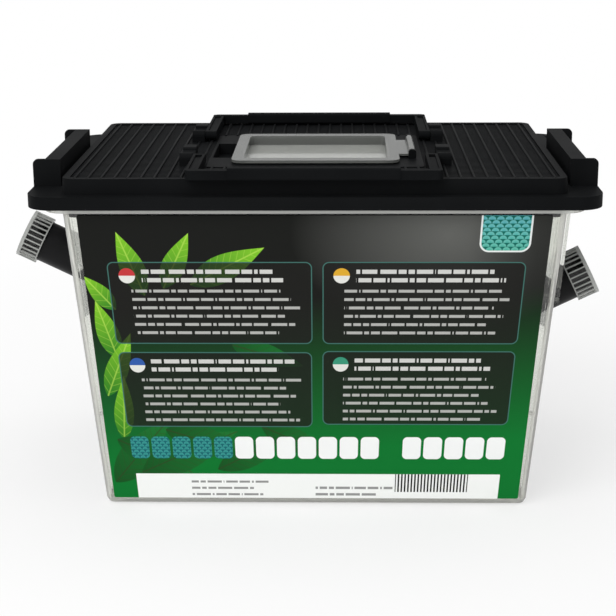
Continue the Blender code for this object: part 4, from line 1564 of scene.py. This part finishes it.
@dataclass
class Handle:
    """One folding carrying handle: a thick grip, thinner corners and channelled arms."""

    facing: Facing
    pivot: float
    reach: float
    half_width: float = 0.0663
    low: float = 0.1874
    grip_half: float = 0.0445
    grip_depth: float = 0.0066
    grip_height: float = 0.0064
    grip_round: float = 0.0013
    bar_lift: float = 0.0002
    bar_depth: float = 0.0054
    bar_height: float = 0.0050
    bar_round: float = 0.0006
    corner_round: float = 0.0032
    arm_width: float = 0.0066
    arm_height: float = 0.0050
    arm_round: float = 0.0024
    arm_overlap: float = 0.6
    channel: float = 0.0036
    channel_depth: float = 0.0008
    channel_ends: tuple[float, float] = (0.0030, 0.0040)
    channel_past: float = 0.003
    slot_past: float = 0.002
    slot: tuple[float, float] = (0.0042, 0.0068)
    pin: float = 0.0015
    pin_reach: tuple[float, float] = (-0.002, 0.005)
    edge: float = 0.0003

    def span(self, near: float, far: float) -> list[float]:
        """Turn two distances from the pivot into places in the depth, the lower first."""
        return sorted((self.pivot + self.facing.value * near, self.pivot + self.facing.value * far))

    def bar(self, inset: float) -> bpy.types.Object:
        """Model the cross bar under the grip, with its rounded outer corners.

        Args:
            inset: How far it stands in from the grip's outer face.

        Returns:
            The bar.
        """
        front, back = self.span(self.reach - inset - self.bar_depth, self.reach - inset)
        low = self.low + self.bar_lift
        bar = block("bar", (-self.half_width, front, low), (self.half_width, back, low + self.bar_height))
        tip = self.pivot + self.facing.value * (self.reach - inset)
        round_off(bar, at(2, lambda place: abs(place.y - tip) < NEAR), self.corner_round, 6)
        round_off(bar, along(0), self.bar_round, 3)
        return bar

    def add_arm(self, handle: bpy.types.Object, side: Side, arm_end: float) -> None:
        """Join one arm to the handle, with its channel, its slot and its pin.

        Args:
            handle: The handle.
            side: The side that the arm is on.
            arm_end: How far from the pivot the arm reaches.
        """
        left, right = sorted((side.value * self.half_width, side.value * (self.half_width - self.arm_width)))
        top, pivot_z = self.low + self.arm_height, self.low + self.arm_height / 2
        front, back = self.span(-self.arm_height / 2, arm_end)
        arm = block("arm", (left, front, self.low), (right, back, top))
        heel = self.pivot - self.facing.value * self.arm_height / 2
        round_off(arm, at(0, lambda place: abs(place.y - heel) < NEAR), self.arm_round, 6)
        unite(handle, arm)
        middle = (left + right) / 2
        near, far = middle - self.channel / 2, middle + self.channel / 2
        front, back = self.span(self.channel_ends[0], arm_end - self.channel_ends[1])
        groove = block("groove", (near, front, top - self.channel_depth), (far, back, top + self.channel_past))
        front, back = self.span(*self.slot)
        unite(groove, block("slot", (near, front, self.low - self.slot_past), (far, back, top)))
        carve(handle, groove)
        start, end = (side.value * (self.half_width + step) for step in self.pin_reach)
        unite(handle, cylinder("pin", self.pin, (start, self.pivot, pivot_z), (end, self.pivot, pivot_z), 20))

    def build(self, finishes: Finishes) -> None:
        """Model the handle, dress it and put it on its body.

        Args:
            finishes: The box's finishes.
        """
        word = self.facing.name.lower()
        front, back = self.span(self.reach - self.grip_depth, self.reach)
        high = (self.grip_half, back, self.low + self.grip_height)
        handle = block(f"{word}_handle_bow", (-self.grip_half, front, self.low), high)
        round_off(handle, along(0), self.grip_round, 4)
        inset = (self.grip_depth - self.bar_depth) / 2
        unite(handle, self.bar(inset))
        for side in Side:
            self.add_arm(handle, side, self.reach - inset - self.bar_depth * self.arm_overlap)
        soften(handle, self.edge, 2)
        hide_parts(f"{word}_handle")
        dress(handle, finishes.handle_black)
        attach(handle, f"{word}_handle_body")
        LOG.info("built %s", handle.name)


@dataclass
class HideTube:
    """One hide tube with its clear ribbed cap."""

    side: Side
    centre: Vector
    tube_radius: float = 0.0123
    tube_wall: float = 0.0015
    tube_edge: float = 0.0003
    seat_gap: float = 0.0003
    cap_radius: float = 0.0136
    rib_radius: float = 0.0143
    band_rise: float = 0.0001
    lip_rise: float = 0.0004
    lip_height: float = 0.0007
    cap_length: float = 0.0125
    cap_end: float = 0.0020
    cap_edge: float = 0.00012
    ribs: int = 28
    steps: int = 4
    slope: float = math.radians(26)
    length: float = 0.2441

    def way(self) -> Vector:
        """Give the direction in which the tube slides out."""
        return Vector((self.side.value * math.cos(self.slope), 0, math.sin(self.slope)))

    def mouth(self) -> Vector:
        """Give the middle of the cap's open end."""
        return self.centre - self.way() * self.cap_length / 2

    def ribbed_shell(self, name: str, skirt: float) -> bpy.types.Object:
        """Model the cap's wall as a drum, and push out every fourth of its faces as a rib.

        Args:
            name: The cap's name.
            skirt: How long its wall is up to the smooth band.

        Returns:
            The wall, still solid.
        """
        sides = self.ribs * self.steps
        cap = cylinder(name, self.cap_radius, (0, 0, 0), (0, 0, skirt + OVERLAP), sides)

        def on_rib(face: bmesh.types.BMFace) -> bool:
            """Say whether a side face belongs to a rib.

            Args:
                face: A face of the drum.

            Returns:
                True for every fourth of its side faces.
            """
            middle = face.calc_center_median()
            turn = math.atan2(middle.y, middle.x) / math.tau * sides
            outer = math.hypot(middle.x, middle.y) > self.cap_radius * 0.9
            return outer and int(math.floor(turn + 0.01)) % self.steps == 0

        if pick(cap, Pick.FACES, on_rib):
            out = {"value": self.rib_radius - self.cap_radius}
            bpy.ops.mesh.extrude_region_shrink_fatten(TRANSFORM_OT_shrink_fatten=out)
        done()
        return cap

    def cap(self, finishes: Finishes) -> bpy.types.Object:
        """Model the ribbed cap with its smooth band, its end plate and a fine lip round its mouth.

        Args:
            finishes: The box's finishes.

        Returns:
            The cap.
        """
        skirt = self.cap_length - self.cap_end
        cap = self.ribbed_shell(f"{self.side.name.lower()}_cap_shell", skirt)
        band = cylinder("band", self.rib_radius + self.band_rise, (0, 0, skirt), (0, 0, self.cap_length), 84)
        lip = cylinder("lip", self.cap_radius + self.lip_rise, (0, 0, 0), (0, 0, self.lip_height), 84)
        unite(cap, band, lip)
        carve(cap, cylinder("tool", self.tube_radius + self.seat_gap, (0, 0, -CLEARANCE), (0, 0, skirt), 64))
        soften(cap, self.cap_edge, 1)
        dress(cap, finishes.cap_clear)
        cap.data.materials.append(finishes.rib_clear)
        for face in cap.data.polygons:
            raised = math.hypot(face.center.x, face.center.y) > self.cap_radius + NEAR
            face.material_index = int(raised or (face.center.z > skirt - NEAR and face.normal.z > 0.5))
        turn = Vector((0, 0, 1)).rotation_difference(self.way()).to_matrix().to_4x4()
        cap.data.transform(Matrix.Translation(self.mouth()) @ turn)
        return cap

    def tube(self, finishes: Finishes) -> bpy.types.Object:
        """Model the tube, open at both ends with softened rims.

        Args:
            finishes: The box's finishes.

        Returns:
            The tube.
        """
        outer = self.mouth() + self.way() * (self.cap_length - self.cap_end - self.seat_gap)
        inner = outer - self.way() * self.length
        tube = cylinder(f"{self.side.name.lower()}_hide_tube", self.tube_radius, inner, outer, 72)
        run = self.way() * CLEARANCE
        carve(tube, cylinder("tool", self.tube_radius - self.tube_wall, inner - run, outer + run, 72))
        soften(tube, self.tube_edge, 2)
        return dress(tube, finishes.tube_black)

    def build(self, finishes: Finishes) -> None:
        """Model the tube and its cap, and put them on their bodies.

        Args:
            finishes: The box's finishes.
        """
        word = self.side.name.lower()
        cap, tube = self.cap(finishes), self.tube(finishes)
        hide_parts(f"{word}_tube_cap")
        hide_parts(f"{word}_tube")
        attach(cap, f"{word}_cap_body")
        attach(tube, f"{word}_tube_body")
        LOG.info("built %s and %s", cap.name, tube.name)


@dataclass
class KeptShapes:
    """The pieces that keep the CAD solids' own shape: tub, label, dishes and water grid."""

    lip_low: float = 0.1690
    lip_out: tuple[float, float] = (0.1395, 0.0960)
    slanted: float = 0.2

    def keep(self, name: str, finish: bpy.types.Material) -> None:
        """Dress a CAD node that keeps its own shape.

        Args:
            name: The node's name.
            finish: Its finish.
        """
        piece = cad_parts[name]
        dress(piece, finish)
        LOG.info("dressed %s", name)

    def frost(self, finishes: Finishes) -> None:
        """Paint light on the tub: a pale tint on its rolled lip for the white light seen through it, and on its
        rounded corners for the light they bend and reflect.

        Args:
            finishes: The box's finishes.
        """
        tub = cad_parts["tub"]
        tub.data.materials.append(finishes.lip_painted_light)
        tub.data.materials.append(finishes.corner_painted_light)
        for face in tub.data.polygons:
            middle = face.center
            outer = abs(middle.x) > self.lip_out[0] or abs(middle.y) > self.lip_out[1]
            # Painted light: the lip's faces take a pale tint in place of the white light seen through the clear lip.
            if middle.z > self.lip_low and outer:
                face.material_index = 1
            # Painted light: faces that turn at the corners take a pale tint in place of the light that the clear
            # plastic bends and reflects there.
            elif sum(abs(part) > self.slanted for part in face.normal) > 1:
                face.material_index = 2

    def build(self, finishes: Finishes) -> None:
        """Dress every kept piece.

        Args:
            finishes: The box's finishes.
        """
        self.keep("tub", finishes.tub_clear)
        self.frost(finishes)
        self.keep("front_label", finishes.label_print)
        for name in ("food_dish", "water_dish"):
            self.keep(name, finishes.dish_grey)
        self.keep("water_dish_grid", finishes.lid_black)


def seen_ray(wiring: Wiring) -> Socket:
    """Tell the rays that show the background apart from those that light the object.

    Args:
        wiring: The material's or the world's wiring.

    Returns:
        A socket that gives 1 on rays from the camera and through glass, and half on rays off gloss.
    """
    path = wiring.node("ShaderNodeLightPath")
    through = wiring.math("MAXIMUM", path.outputs["Is Camera Ray"], path.outputs["Is Transmission Ray"])
    return wiring.math("MAXIMUM", through, wiring.multiply(path.outputs["Is Glossy Ray"], 0.5))


@dataclass
class Studio:
    """Camera, floor and soft light."""

    place: tuple[float, float, float] = (0.0150, -0.8754, 0.3392)
    pitch: float = math.radians(15.792)
    yaw: float = math.radians(-1.344)
    roll: float = math.radians(-0.317)
    focal: float = 89.95
    sensor: float = 36
    clip: tuple[float, float] = (0.05, 50)
    floor_radius: float = 14
    floor_height: float = -0.0002
    floor_tones: tuple[Colour, Colour] = ((0.93, 0.93, 0.93, 1), (0.95, 0.95, 0.95, 1))
    floor_white: tuple[float, float, float, float] = (0.16, 0.60, 0.60, 1.0)
    ambient: float = 0.6
    aim: tuple[float, float, float] = (0, 0, 0.1)
    lamps: tuple[tuple[str, Point, float, float], ...] = (
        ("key", (-0.7, -1.1, 1.3), 1.2, 15),
        ("top", (0.2, 0.3, 1.8), 1.4, 6),
    )

    def camera(self) -> None:
        """Set the camera as the photograph's was."""
        level = math.cos(self.pitch)
        ahead = Vector((math.sin(self.yaw) * level, math.cos(self.yaw) * level, -math.sin(self.pitch)))
        right = Vector((math.cos(self.yaw), -math.sin(self.yaw), 0))
        above = right.cross(ahead)
        turned = right * math.cos(self.roll) + above * math.sin(self.roll)
        raised = above * math.cos(self.roll) - right * math.sin(self.roll)
        data = bpy.data.cameras.new("camera")
        data.lens = self.focal
        data.sensor_width = self.sensor
        data.clip_start, data.clip_end = self.clip
        item = bpy.data.objects.new("camera", data)
        columns = Matrix((turned, raised, -ahead)).transposed().to_4x4()
        item.matrix_world = Matrix.Translation(Vector(self.place)) @ columns
        bpy.context.scene.collection.objects.link(item)
        bpy.context.scene.camera = item

    def floor(self) -> None:
        """Add the wide pale floor, which keeps the object's shadow and fades to white away from it."""
        bpy.ops.object.select_all(action="DESELECT")
        bpy.ops.mesh.primitive_circle_add(
            vertices=64, radius=self.floor_radius, fill_type="NGON", location=(0, 0, self.floor_height)
        )
        floor = settle(bpy.context.object, "studio_floor")
        made, wiring, shader = start_material("studio_floor")
        place = wiring.place()
        tone = wiring.span(wiring.noise(place, 2.0), 0.3, 0.7)
        wiring.feed(shader.inputs["Base Color"], wiring.mix(tone, *self.floor_tones))
        shader.inputs["Roughness"].default_value = 0.9
        shader.inputs["Specular IOR Level"].default_value = 0.0
        distance = wiring.node("ShaderNodeVectorMath", operation="LENGTH")
        wiring.feed(distance.inputs[0], place)
        away = wiring.span(distance.outputs["Value"], *self.floor_white)
        white = wiring.node("ShaderNodeEmission")
        blend = wiring.node("ShaderNodeMixShader")
        wiring.feed(blend.inputs[0], wiring.multiply(away, seen_ray(wiring)))
        wiring.feed(blend.inputs[1], shader.outputs[0])
        wiring.feed(blend.inputs[2], white.outputs[0])
        wiring.feed(made.node_tree.nodes["Material Output"].inputs["Surface"], blend.outputs[0])
        dress(floor, made)

    def lamp(self, name: str, place: Point, size: float, power: float) -> None:
        """Add a soft square lamp that shines at the object.

        Args:
            name: The lamp's name.
            place: Where it hangs.
            size: The length of its side.
            power: Its power in watts.
        """
        data = bpy.data.lights.new(name, "AREA")
        data.shape = "SQUARE"
        data.size = size
        data.energy = power
        item = bpy.data.objects.new(name, data)
        item.location = place
        item.rotation_euler = (Vector(self.aim) - Vector(place)).to_track_quat("-Z", "Y").to_euler()
        bpy.context.scene.collection.objects.link(item)

    def world(self) -> None:
        """Light the scene from all round, and show plain white behind it."""
        made = bpy.data.worlds.new("studio")
        made.use_nodes = True
        wiring = Wiring(made.node_tree)
        background = made.node_tree.nodes["Background"]
        background.inputs["Color"].default_value = (1, 1, 1, 1)
        wiring.feed(background.inputs["Strength"], wiring.math("MAXIMUM", seen_ray(wiring), self.ambient))
        bpy.context.scene.world = made

    def build(self) -> None:
        """Set up the whole studio."""
        self.camera()
        self.floor()
        self.world()
        for name, place, size, power in self.lamps:
            self.lamp(name, place, size, power)
        bpy.context.scene.view_settings.view_transform = "Standard"
        LOG.info("set up the studio")


def main() -> None:
    """Build the box's pieces in order, then the studio."""
    logging.basicConfig(level=logging.INFO, format="%(name)s: %(message)s")
    finishes = make_finishes()
    Lid().build(finishes)
    Hatch().build(finishes)
    Handle(Facing.FRONT, pivot=-0.048, reach=0.052).build(finishes)
    Handle(Facing.REAR, pivot=0.028, reach=0.0645).build(finishes)
    for side in Side:
        low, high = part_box(f"{side.name.lower()}_tube_cap")
        HideTube(side, (low + high) / 2).build(finishes)
    KeptShapes().build(finishes)
    Studio().build()


if __name__ == "__main__":
    main()
